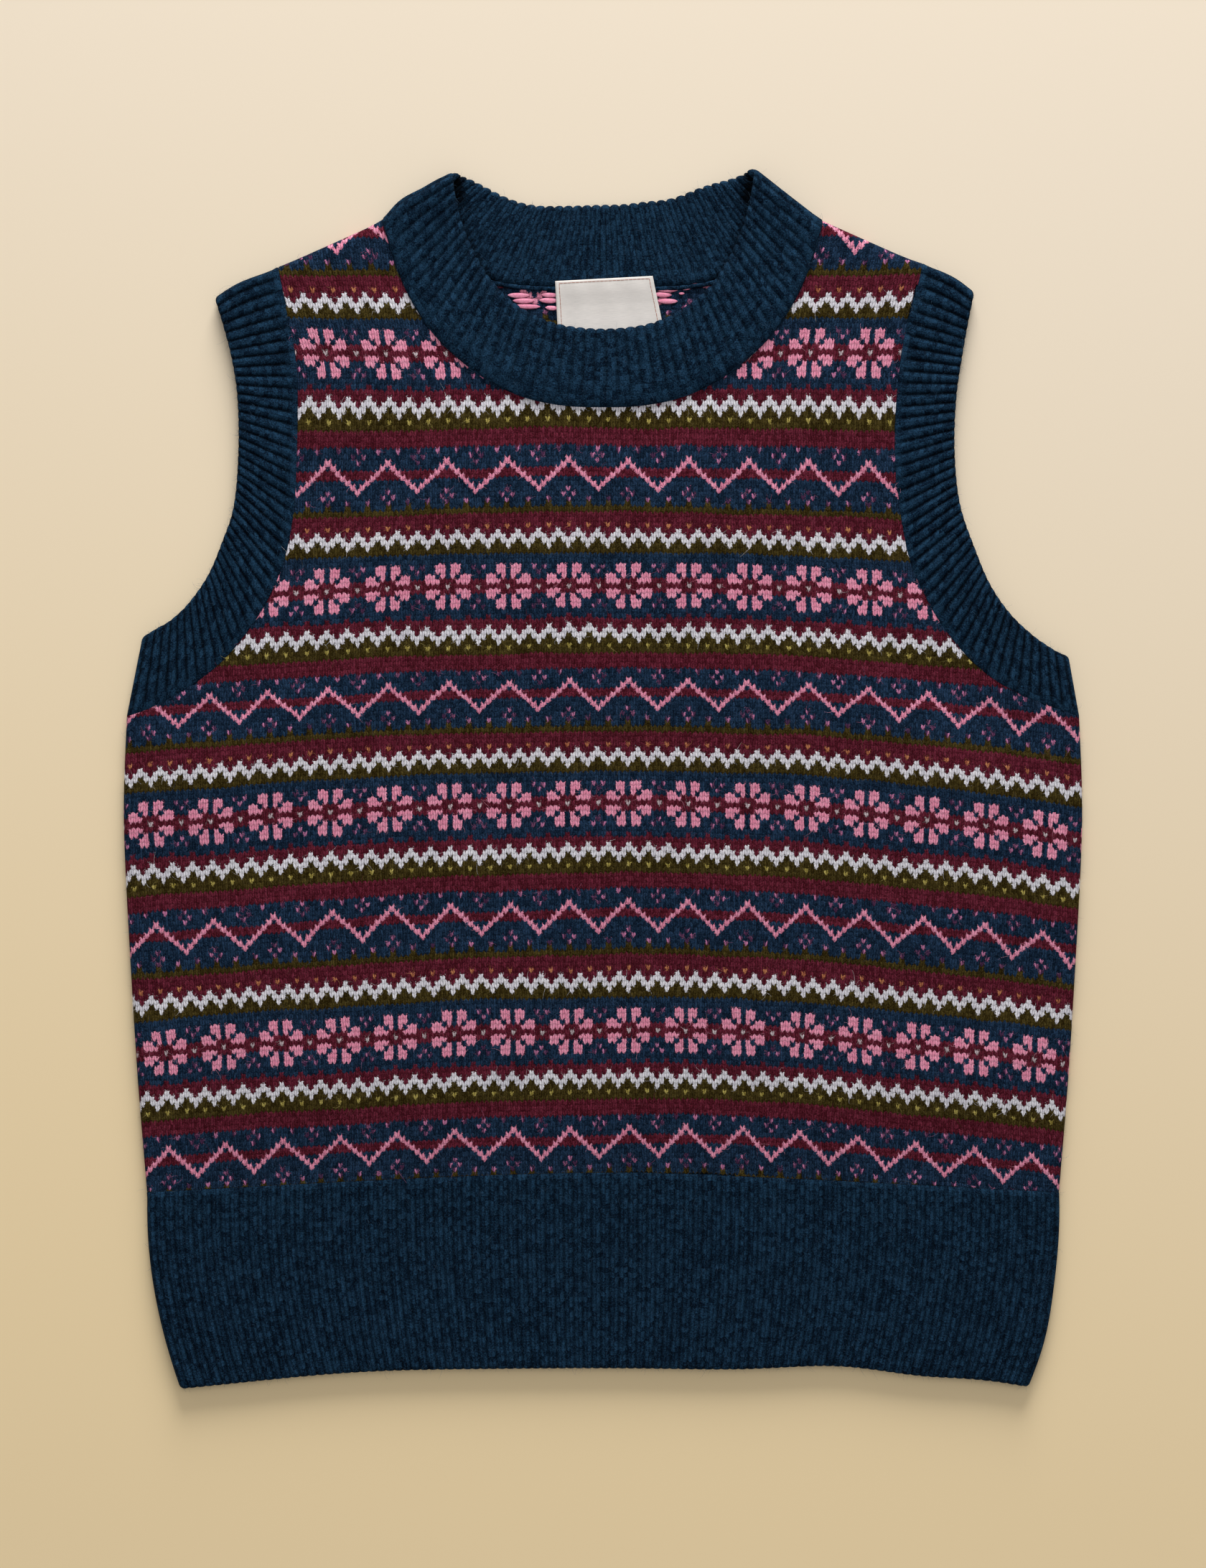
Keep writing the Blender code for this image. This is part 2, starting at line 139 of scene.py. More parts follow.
YARNS = (
    # name, what it is, light shade, deep shade
    ("blush", "The zigzags' pink wool", (1.0, 0.460, 0.610), (0.780, 0.240, 0.370)),
    ("olive", "Olive wool", (0.120, 0.088, 0.022), (0.020, 0.012, 0.0015)),
    ("navy", "Navy wool", (0.030, 0.072, 0.150), (0.0025, 0.0080, 0.0190)),
    ("wine", "Wine wool", (0.240, 0.034, 0.066), (0.052, 0.0045, 0.0085)),
    ("ice", "Pale blue wool", (1.0, 0.970, 1.0), (0.700, 0.670, 0.740)),
    ("rose", "Dusty pink wool", (1.0, 0.460, 0.610), (0.820, 0.260, 0.390)),
    ("straw", "Straw yellow wool", (0.700, 0.580, 0.180), (0.22, 0.17, 0.03)),
    ("ash", "Pale grey wool", (0.780, 0.700, 0.720), (0.420, 0.330, 0.350)),
    ("mauve", "Dull mauve wool", (0.560, 0.200, 0.360), (0.070, 0.026, 0.070)),
    ("amber", "Amber wool", (0.760, 0.350, 0.140), (0.280, 0.070, 0.040)),
    ("marl", "Marled navy of the ribs", (0.020, 0.066, 0.130), (0.0012, 0.0050, 0.0130)),
)
BLUSH, OLIVE, NAVY, WINE, ICE, ROSE, STRAW, ASH, MAUVE, AMBER, MARL = range(len(YARNS))

# The stitch chart. Rows run down from the middle of a flower, columns across from its centre.

REPEAT_ROWS = 44
REPEAT_COLUMNS = 12
CHART = (
    # row, ground yarn, ((yarn, columns from the centre), ...), column period
    (0, WINE, ((ASH, (0, 6)),), 12),
    (1, WINE, ((ROSE, (2, 3, 4)),), 12),
    (2, NAVY, ((ROSE, (1, 3, 4)),), 12),
    (3, NAVY, ((ROSE, (1, 2)), (MAUVE, (6,))), 12),
    (4, NAVY, ((ROSE, (1, 2)), (MAUVE, (5,))), 12),
    (5, NAVY, (), 12),
    (6, NAVY, ((WINE, (0,)),), 4),
    (7, WINE, (), 4),
    (8, WINE, ((ICE, (0,)),), 4),
    (9, ICE, ((WINE, (2,)),), 4),
    (10, ICE, ((OLIVE, (0,)),), 4),
    (11, OLIVE, ((ICE, (2,)),), 4),
    (12, OLIVE, ((STRAW, (0,)),), 4),
    (13, OLIVE, (), 4),
    (14, WINE, (), 4),
    (15, WINE, (), 4),
    (16, WINE, (), 4),
    (17, NAVY, ((MAUVE, (2, 6)),), 12),
    (18, NAVY, ((MAUVE, (5,)),), 12),
    (19, NAVY, ((BLUSH, (0,)), (MAUVE, (6,))), 12),
    (20, NAVY, ((BLUSH, (1,)),), 12),
    (21, WINE, ((BLUSH, (2,)),), 12),
    (22, WINE, ((BLUSH, (3,)),), 12),
    (23, NAVY, ((BLUSH, (4,)),), 12),
    (24, NAVY, ((BLUSH, (5,)),), 12),
    (25, NAVY, ((BLUSH, (6,)), (MAUVE, (0,))), 12),
    (26, NAVY, ((MAUVE, (1,)),), 12),
    (27, NAVY, ((MAUVE, (0, 4)),), 12),
    (28, NAVY, ((OLIVE, (0,)),), 4),
    (29, OLIVE, (), 4),
    (30, WINE, (), 4),
    (31, WINE, (), 4),
    (32, WINE, ((AMBER, (0,)),), 4),
    (33, WINE, ((ICE, (2,)),), 4),
    (34, ICE, ((WINE, (0,)),), 4),
    (35, ICE, ((OLIVE, (2,)),), 4),
    (36, OLIVE, ((ICE, (0,)),), 4),
    (37, OLIVE, (), 4),
    (38, NAVY, (), 4),
    (39, NAVY, (), 4),
    (40, NAVY, ((ROSE, (1, 2)), (MAUVE, (5,))), 12),
    (41, NAVY, ((ROSE, (1, 2)), (MAUVE, (6,))), 12),
    (42, NAVY, ((ROSE, (1, 3, 4)),), 12),
    (43, WINE, ((ROSE, (2, 3, 4)),), 12),
)

# Where the courses lie. A level is a count of rows up from the lowest flower's middle.

COURSES = (
    # level, y on the centre line, share of the full fall towards the sides
    (-30.0, -192.1, 1.0),
    (0.0, -119.0, 1.0),
    (44.0, -10.0, 1.0),
    (88.0, 94.5, 0.72),
    (110.0, 147.5, 0.35),
    (132.0, 206.0, -0.1),
    (150.0, 251.5, -0.1),
    (162.0, 285.0, -0.1),
)
FALLS = (
    # distance from the centre line, fall of a course on the left, on the right
    (0.0, 0.0, 0.0),
    (40.0, 0.2, 0.8),
    (70.0, 1.0, 1.6),
    (100.0, 2.5, 3.0),
    (130.0, 5.2, 4.8),
    (160.0, 8.4, 6.5),
    (190.0, 11.8, 8.8),
    (220.0, 15.7, 11.3),
    (260.0, 21.0, 15.0),
)
FLOWER_X = 12.1  # the flowers' centre column
STITCH_WIDTHS = (
    # y, width of a stitch
    (-190.0, 2.300),
    (-119.0, 2.318),
    (-67.0, 2.363),
    (-10.0, 2.386),
    (95.0, 2.415),
    (195.0, 2.400),
    (268.0, 2.650),
)
ZIGZAG_LEVEL = 21.5  # the middle of the zigzag in each repeat of rows
TIGHTER = 0.12  # how much closer the courses lie there
TIGHTER_ROWS = 5.0  # over about how many rows, each way
CHEVRON = 0.38  # how far a stitch's two legs slant, in rows

# Where the laid cloth strays from its cut outline

NUDGES = (
    # x, y, radius, shift_x, shift_y
    (-97.0, 277.0, 11.0, -1.2, 2.6),
    (-73.0, 293.0, 7.0, 0.6, -1.8),
    (-38.0, 282.0, 16.0, 0.0, -1.4),
    (46.0, 284.0, 15.0, 0.6, 3.8),
    (22.0, 279.0, 12.0, 0.0, 1.6),
    (-176.0, 238.0, 15.0, -1.0, 2.2),
    (168.0, 241.0, 15.0, 1.6, 2.4),
    (-120.0, -290.0, 60.0, 0.0, 2.0),
    (115.0, -290.0, 38.0, 0.0, 4.6),
    (180.0, -290.0, 26.0, 1.0, 2.4),
    (206.0, -270.0, 24.0, 1.6, 0.4),
)

# Soft hollows in the front where the cloth gives, between two ends

HOLLOWS = (
    # x_from, y_from, x_to, y_to, half_width, depth
    (-190.0, 30.0, -120.0, 62.0, 13.0, 0.9),
    (205.0, 18.0, 128.0, 66.0, 15.0, 1.0),
    (-205.0, -60.0, -150.0, -20.0, 18.0, 0.8),
    (150.0, -120.0, 206.0, -92.0, 16.0, 0.7),
    (-70.0, 178.0, -118.0, 140.0, 14.0, 0.8),
    (66.0, 182.0, 110.0, 134.0, 16.0, 0.7),
    (-60.0, -150.0, 10.0, -128.0, 22.0, 0.6),
    (40.0, 20.0, 95.0, -30.0, 26.0, 0.6),
)
HOLLOW_BANK = 0.6  # how high the cloth rises on both sides of a hollow, as a share of its depth
HOLLOW_TAIL = 0.25  # how far a hollow fades in and out past its two ends, as a share of its length
HOLLOW_MARGIN = 14.0  # how near to an edge of the front the hollows fade out


# Plan geometry


CURVE_STEPS = 14  # between two given points of a curve


def smooth_curve(points, count):
    """count + 1 evenly spaced points on a smooth curve through the given ones."""
    knots = np.asarray(points, float)
    before = np.vstack([2 * knots[0] - knots[1], knots[:-2]])
    after = np.vstack([knots[2:], 2 * knots[-1] - knots[-2]])
    t = (np.arange(CURVE_STEPS) / CURVE_STEPS)[None, :, None]
    start, end = knots[:-1, None], knots[1:, None]
    before, after = before[:, None], after[:, None]
    dense = 0.5 * (2 * start + (end - before) * t
                   + (2 * before - 5 * start + 4 * end - after) * t ** 2
                   + (3 * start - before - 3 * end + after) * t ** 3)
    path = np.vstack([dense.reshape(-1, 2), knots[-1:]])
    return resample(path, np.linspace(0.0, 1.0, count + 1))


def path_length(path):
    return float(np.linalg.norm(np.diff(path, axis=0), axis=1).sum())


def resample(path, shares):
    """The points at the given shares of a path's length."""
    steps = np.linalg.norm(np.diff(path, axis=0), axis=1)
    lengths = np.concatenate([[0.0], np.cumsum(steps)])
    targets = np.asarray(shares) * lengths[-1]
    return np.stack([np.interp(targets, lengths, path[:, axis]) for axis in range(2)], axis=-1)


def seam_of(table):
    return [row[:2] for row in table]


def edge_of(table):
    return [row[2:] for row in table]


def both_halves(points):
    """A curve given from the middle outwards at +X, run from the right side to the left."""
    return [(-x, y) for x, y in points[:0:-1]] + list(points)


def bow(share, half_width, flat_width):
    """A line's drop towards the side, from 0 in the middle to 1, nearly flat over flat_width."""
    reach = np.hypot(share * half_width, flat_width) - flat_width
    return reach / (math.hypot(half_width, flat_width) - flat_width)


def hem_line(line, count=80):
    centre_y, side_x, side_drop, flat_width = line
    share = np.linspace(-1.0, 1.0, count + 1)
    drop = side_drop * bow(np.abs(share), side_x, flat_width)
    return np.stack([side_x * share, centre_y - drop], axis=-1)


def ease(share):
    """0 to 1 with a level start and end."""
    share = np.clip(share, 0.0, 1.0)
    return share * share * (3 - 2 * share)


CHUNK = 4000  # points that are measured at a time, to save memory


def nearest_on(path, points, closed=False):
    """Each point's nearest place on a path, and how far away it is."""
    start = path if closed else path[:-1]
    end = np.roll(path, -1, axis=0) if closed else path[1:]
    way = end - start
    square = np.maximum((way ** 2).sum(axis=1), 1e-12)
    places = np.empty_like(points)
    distances = np.empty(len(points))
    for first in range(0, len(points), CHUNK):
        chunk = points[first:first + CHUNK, None]
        share = np.clip(((chunk - start) * way).sum(axis=2) / square, 0.0, 1.0)
        spots = start + way * share[..., None]
        gaps = ((chunk - spots) ** 2).sum(axis=2)
        best = gaps.argmin(axis=1)
        rows = np.arange(len(best))
        places[first:first + CHUNK] = spots[rows, best]
        distances[first:first + CHUNK] = np.sqrt(gaps[rows, best])
    return places, distances


def inside(outline, points):
    """Whether each point is inside a closed outline."""
    found = np.zeros(len(points), bool)
    for (x0, y0), (x1, y1) in zip(outline, np.roll(outline, -1, axis=0)):
        if y0 != y1:
            crosses = (points[:, 1] > y0) != (points[:, 1] > y1)
            x_there = x0 + (points[:, 1] - y0) / (y1 - y0) * (x1 - x0)
            found ^= crosses & (points[:, 0] < x_there)
    return found


class Shoulder:
    """The line where the front turns over to the back, on one side."""

    def __init__(self, armhole, side):
        self.start = np.array(armhole[0][:2])
        self.end = np.array((side * FRONT_NECK[-1][0], FRONT_NECK[-1][1]))
        along = (self.end - self.start) / np.linalg.norm(self.end - self.start)
        self.up = np.array((-along[1], along[0])) * -side

    def unfolded(self):
        return self.start + self.up * UNFOLD, self.end + self.up * UNFOLD

    def below(self, points):
        return -((points - self.start) @ self.up)


SHOULDERS = (Shoulder(RIGHT_ARMHOLE, -1), Shoulder(LEFT_ARMHOLE, 1))


def side_x_at(y):
    side = smooth_curve(SIDE_FOLD, 60)
    return np.interp(y, side[:, 1], side[:, 0])


def panel_outline(neck):
    """The panel's edge as cut: its sides and shoulders reach to the middle of their folds."""
    hem = hem_line(HEM_LINES[0])
    hem[:, 0] *= 1 + UNFOLD / HEM_LINES[0][1]
    side = smooth_curve(SIDE_FOLD, 40) + (UNFOLD, 0.0)
    left_arm = smooth_curve(seam_of(LEFT_ARMHOLE)[::-1], 90)
    right_arm = smooth_curve(seam_of(RIGHT_ARMHOLE), 90)
    left_arm[0] = side[-1]
    right_arm[-1] = side[-1] * (-1, 1)
    right_shoulder, left_shoulder = SHOULDERS
    neckline = smooth_curve(both_halves(seam_of(neck)), 120)[::-1]
    pieces = [hem, side[1:], left_arm[1:], left_shoulder.unfolded(), neckline,
              right_shoulder.unfolded()[::-1], right_arm, side[::-1][1:-1] * (-1, 1)]
    return np.vstack(pieces)


FOLD_PAST_UNDERARM = 2.5  # how far the side's fold runs on above the underarm


def fold_over(points):
    """Lay the cut cloth's edges over their folds: the new plan points and the height, 0 to 1."""
    folded = points.copy()
    height = np.ones(len(points))
    quarter = FOLD_RADIUS * math.pi / 2
    underarm_y = SIDE_FOLD[-1][1]
    edge = side_x_at(points[:, 1])
    room = edge + UNFOLD - np.abs(points[:, 0])
    turning = (room < quarter) & (points[:, 1] <= underarm_y + FOLD_PAST_UNDERARM)
    angle = np.clip(room / FOLD_RADIUS, 0.0, math.pi / 2)
    x = (edge - FOLD_RADIUS * (1 - np.cos(angle))) * np.sign(points[:, 0])
    folded[turning, 0] = x[turning]
    height[turning] = np.sin(angle)[turning]
    for shoulder in SHOULDERS:
        below = shoulder.below(points)
        near = (below < quarter - UNFOLD) & (np.sign(points[:, 0]) == np.sign(shoulder.end[0]))
        angle = np.clip((below + UNFOLD) / FOLD_RADIUS, 0.0, math.pi / 2)
        shift = below - FOLD_RADIUS * (1 - np.cos(angle))
        folded[near] += (shift[:, None] * shoulder.up)[near]
        height[near] = np.sin(angle)[near]
    return folded, height


def settle(points):
    """The points moved by the nudges, which fade softly round their places."""
    moved = points.copy()
    for x, y, radius, shift_x, shift_y in NUDGES:
        square = (points[:, 0] - x) ** 2 + (points[:, 1] - y) ** 2
        share = np.exp(-square / radius ** 2)
        moved[:, 0] += shift_x * share
        moved[:, 1] += shift_y * share
    return moved


def front_lift(points, rise, width):
    """How far the front's middle stands above its edges, less its soft hollows."""
    side = smooth_curve(SIDE_FOLD, 30)
    edges = [np.vstack([side, smooth_curve(seam_of(LEFT_ARMHOLE)[::-1], 40)]),
             np.vstack([side * (-1, 1), smooth_curve(seam_of(RIGHT_ARMHOLE)[::-1], 40)]),
             smooth_curve(both_halves(seam_of(FRONT_NECK)), 50), hem_line(HEM_LINES[0], 30)]
    lift = np.full(len(points), rise)
    room = np.full(len(points), 1e9)
    for path in edges:
        distance = nearest_on(path, points)[1]
        lift *= ease(distance / width)
        room = np.minimum(room, distance)
    for shoulder in SHOULDERS:
        lift *= ease(shoulder.below(points) / width)
        room = np.minimum(room, np.abs(shoulder.below(points)))
    calm = ease(room / HOLLOW_MARGIN)
    for x0, y0, x1, y1, half_width, depth in HOLLOWS:
        start, end = np.array((x0, y0)), np.array((x1, y1))
        way = end - start
        share = ((points - start) @ way) / (way @ way)
        across = np.abs((points - start) @ np.array((-way[1], way[0]))) / np.linalg.norm(way)
        fade = 2 * HOLLOW_TAIL
        along = ease((share + HOLLOW_TAIL) / fade) * ease((1 + HOLLOW_TAIL - share) / fade)
        trough = np.exp(-(across / half_width) ** 2)
        bank = np.exp(-((across - 2 * half_width) / half_width) ** 2)
        lift -= depth * along * calm * (trough - HOLLOW_BANK * bank)
    return lift


# Courses and wales


def chart_yarns(rows, columns):
    """The yarn of each stitch, from its row down from a flower's middle and its column."""
    table = np.zeros((REPEAT_ROWS, REPEAT_COLUMNS))
    for row, ground, marks, period in CHART:
        table[row] = ground
        for yarn, places in marks:
            for place in places:
                for column in range(REPEAT_COLUMNS):
                    if column % period in (place, (period - place) % period):
                        table[row, column] = yarn
    return table[np.mod(rows, REPEAT_ROWS), np.mod(columns, REPEAT_COLUMNS)]


def stitch_place(wale, level):
    """The cut cloth's plan point of a wale and a level. Wale 0.5 is the flowers' centre."""
    table = np.array(COURSES)
    zigzag = np.mod(level, REPEAT_ROWS) - ZIGZAG_LEVEL
    level = level - TIGHTER * zigzag * np.exp(-(zigzag / TIGHTER_ROWS) ** 2)
    y = np.interp(level, table[:, 0], table[:, 1])
    dip = np.interp(level, table[:, 0], table[:, 2])
    widths = np.array(STITCH_WIDTHS)
    x = FLOWER_X + (wale - 0.5) * np.interp(y, *widths.T)
    falls = np.array(FALLS)
    fall = np.where(x > 0, np.interp(np.abs(x), falls[:, 0], falls[:, 1]),
                    np.interp(np.abs(x), falls[:, 0], falls[:, 2]))
    return np.stack([x, y - fall * dip], axis=-1)


def chart_values(stitches, shift=0):
    """Each face's own yarn and those of the four stitches round it."""
    rows, columns = shift - stitches[:, 1] - 1, stitches[:, 0]
    own = chart_yarns(rows, columns)
    sides = np.stack([chart_yarns(rows, columns - 1), chart_yarns(rows, columns + 1),
                      chart_yarns(rows + 1, columns)], axis=-1)
    return {"yarn": own, "beside": sides, "above": chart_yarns(rows - 1, columns)}


def rough(count, seed):
    return np.random.default_rng(seed).uniform(-1.0, 1.0, count)


DRIFTS = ((2.3, 0.16), (5.7, 0.22), (17.0, 0.35))  # stitches from one stray place to the next, mm
DRIFT_CELLS = 160


def drift(places, seed):
    """Unevenness that a hand can feel: whole stitches lie a little off their course."""
    draw = np.random.default_rng(seed)
    moved = np.zeros(places.shape)
    for span, reach in DRIFTS:
        table = draw.normal(0.0, reach, (DRIFT_CELLS, DRIFT_CELLS, 2))
        spot = (places + 200.0) / span
        low = np.floor(spot).astype(int)
        share = ease(spot - low)[..., None]
        for right in (0, 1):
            for up in (0, 1):
                weight = np.abs(1 - right - share[:, 0]) * np.abs(1 - up - share[:, 1])
                cell = (low + (right, up)) % DRIFT_CELLS
                moved += weight * table[cell[:, 0], cell[:, 1]]
    return moved


WALES = np.arange(-112, 104)  # of the lattice that a panel is cut from
LEVELS = np.arange(-34, 172)
EDGE_STITCHES = 1.0  # how far outside the outline a stitch's middle may lie


def knit_grid(outline, lines_per_stitch, slant, seed, wobble):
    """Stitches inside an outline: lattice points, quads, their stitch numbers and knit places."""
    wale, level = np.meshgrid(WALES, LEVELS)
    middle = stitch_place(wale.ravel() + 0.5, level.ravel() + 0.5)
    near = inside(outline, middle)
    close = nearest_on(outline, middle[~near], closed=True)[1] < EDGE_STITCHES
    near[np.flatnonzero(~near)[close]] = True
    stitches = np.flatnonzero(near)
    across = len(WALES) * lines_per_stitch + 1
    row = stitches // len(WALES)
    column = stitches % len(WALES)
    first = row * across + column * lines_per_stitch
    corners = first[:, None] + np.arange(lines_per_stitch)
    quads = np.stack([corners, corners + 1, corners + 1 + across, corners + across], axis=-1)
    quads = quads.reshape(-1, 4)
    used, quads = np.unique(quads, return_inverse=True)
    quads = quads.reshape(-1, 4)
    line = used % across
    wale_place = WALES[0] + line / lines_per_stitch
    level_place = LEVELS[0] + used // across
    legs = np.abs(2 * np.mod(wale_place, 1.0) - 1)
    bent = level_place + slant * (legs - 0.5)
    points = stitch_place(wale_place, bent)
    points += wobble * np.stack([rough(len(points), seed), rough(len(points), seed + 1)], axis=-1)
    points += drift(np.stack([wale_place, level_place], axis=-1), seed + 2)
    outside = np.flatnonzero(~inside(outline, points))
    points[outside] = nearest_on(outline, points[outside], closed=True)[0]
    numbers = np.repeat(np.stack([WALES[0] + column, LEVELS[0] + row], axis=-1),
                        lines_per_stitch, axis=0)
    return points, quads, numbers, np.stack([wale_place, level_place], axis=-1)


# Meshes


def add_mesh(name, points, faces, material, knit_places, face_values):
    """One piece from points in millimetres, with knit places as its UVs and values on faces."""
    mesh = bpy.data.meshes.new(name)
    mesh.from_pydata((np.asarray(points) * MM).tolist(), [], np.asarray(faces).tolist())
    if knit_places is not None:
        layer = mesh.uv_layers.new(name=UV_NAME)
        layer.data.foreach_set("uv", knit_places.astype(np.float32).ravel())
    for value_name, values in (face_values or {}).items():
        values = np.asarray(values, np.float32)
        kind, field = ("FLOAT", "value") if values.ndim == 1 else ("FLOAT_VECTOR", "vector")
        attribute = mesh.attributes.new(value_name, kind, "FACE")
        attribute.data.foreach_set(field, values.ravel())
    mesh.shade_smooth()
    mesh.materials.append(material)
    piece = bpy.data.objects.new(name, mesh)
    bpy.context.scene.collection.objects.link(piece)
    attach(piece, "root")
    return piece


# Shader maths


class Value:
    """One output in a material's nodes. Arithmetic on it adds Math nodes."""

    def __init__(self, shop, socket):
        self.shop = shop
        self.socket = socket

    def _math(self, operation, *others, clamp=False):
        return self.shop.node("ShaderNodeMath", {"operation": operation, "use_clamp": clamp},
                              [self, *others])

    def __add__(self, other):
        return self._math("ADD", other)

    def __sub__(self, other):
        return self._math("SUBTRACT", other)

    def __rsub__(self, other):
        return self.shop.node("ShaderNodeMath", {"operation": "SUBTRACT"}, [other, self])

    def __mul__(self, other):
        return self._math("MULTIPLY", other)

    def __truediv__(self, other):
        return self._math("DIVIDE", other)

    def __pow__(self, other):
        return self._math("POWER", other)

    def __abs__(self):
        return self._math("ABSOLUTE")

    __radd__ = __add__
    __rmul__ = __mul__

    def most(self, other):
        return self._math("MAXIMUM", other)

    def least(self, other):
        return self._math("MINIMUM", other)

    def below(self, other):
        return self._math("LESS_THAN", other)

    def fraction(self):
        return self._math("FRACT")

    def whole(self):
        return self._math("FLOOR")

    def wave(self):
        return self._math("SINE")

    def clamped(self):
        return self._math("ADD", 0.0, clamp=True)

    def eased(self, low, high):
        return self.shop.node("ShaderNodeMapRange", {"interpolation_type": "SMOOTHSTEP"},
                              {"Value": self, "From Min": low, "From Max": high})


class Workshop:
    """A material being made, with one method for every node it needs."""

    def __init__(self, name, roughness, **constants):
        self.material = bpy.data.materials.new(name)
        self.material.use_nodes = True
        self.tree = self.material.node_tree
        self.shader = self.tree.nodes["Principled BSDF"]
        self.shader.inputs["Roughness"].default_value = roughness
        for socket, value in constants.items():
            self.shader.inputs[socket.replace("_", " ")].default_value = value

    def node(self, kind, settings=None, inputs=None, output=0):
        made = self.tree.nodes.new(kind)
        for name, value in (settings or {}).items():
            if name == "stops":
                self._set_stops(made.color_ramp, value)
            elif name == "ramp":
                made.color_ramp.interpolation = value
            else:
                setattr(made, name, value)
        pairs = inputs.items() if isinstance(inputs, dict) else enumerate(inputs or [])
        for name, value in pairs:
            if isinstance(value, Value):
                self.tree.links.new(value.socket, made.inputs[name])
            else:
                made.inputs[name].default_value = value
        return Value(self, made.outputs[output])

    @staticmethod
    def _set_stops(ramp, stops):
        while len(ramp.elements) < len(stops):
            ramp.elements.new(1.0)
        for element, (position, colour) in zip(ramp.elements, stops):
            element.position = position
            element.color = colour

    def mix(self, share, first, second, blend="MIX"):
        """A colour between two, as Mix does it. Its colour sockets are numbered 6 and 7."""
        settings = {"data_type": "RGBA", "blend_type": blend}
        return self.node("ShaderNodeMix", settings, {0: share, 6: first, 7: second}, output=2)

    def attribute(self, name, output=2):
        return self.node("ShaderNodeAttribute", {"attribute_name": name}, output=output)

    def vector(self, x, y, z=0.0):
        return self.node("ShaderNodeCombineXYZ", None, [x, y, z])

    def noise(self, place, scale, detail, roughness, output=0):
        inputs = {"Vector": place, "Scale": scale, "Detail": detail, "Roughness": roughness}
        return self.node("ShaderNodeTexNoise", None, inputs, output)

    def speckle(self, place):
        return self.node("ShaderNodeTexWhiteNoise", {"noise_dimensions": "2D"},
                         {"Vector": place})

    def split(self, place):
        first = self.node("ShaderNodeSeparateXYZ", None, [place])
        return [Value(self, socket) for socket in first.socket.node.outputs]

    def bump(self, height, distance, strength):
        return self.node("ShaderNodeBump", None,
                         {"Height": height, "Distance": distance, "Strength": strength})

    def finish(self, **links):
        for name, value in links.items():
            self.tree.links.new(value.socket, self.shader.inputs[name.replace("_", " ")])
        return self.material


def rgba(colour, scale=1.0):
    return tuple(channel * scale for channel in colour[:3]) + (1.0,)


def yarn_ramp(shop, yarn, yarns, shade, scale=1.0):
    """The colour of a yarn number, in the shade that ends its property's name."""
    stops = [(max(index - 0.5, 0.0) / len(YARNS), rgba(getattr(yarns, name + shade), scale))
             for index, (name, *_) in enumerate(YARNS)]
    settings = {"ramp": "CONSTANT", "stops": stops}
    return shop.node("ShaderNodeValToRGB", settings, {"Fac": yarn / len(YARNS)})


def creep(yarn, neighbour, room, margin):
    """The yarn near one side of a stitch, room from its border with a neighbour.

    A neighbour of a lower number covers the margin, and any other only strays over the border.
    """
    covered = room.below(margin) * (yarn.least(neighbour) - yarn)
    strayed = room.below(0.0) * (neighbour - yarn.least(neighbour))
    return yarn + covered + strayed


FURROWS = {
    # band: painted shade in its furrows, course where it starts to deepen, where it has, last
    # course, strength of the groove, in bump and painted shade, between a rib's two legs, how far
    # its borders wander
    "hem": (0.54, 0.0, 2.0, 84.0, 0.46, 0.12),
    "armband": (0.78, 0.0, 2.0, 30.0, 0.12, 0.30),
    "neckband": (0.47, 0.0, 6.0, 33.0, 0.12, 0.20),
    "float": (0.35, 0.0, 1.0, 1e6, 0.10, 0.20),
}


def rib_wool(band, sizes, yarns):
    return wool_material(band + "_wool", sizes, yarns, FURROWS[band])


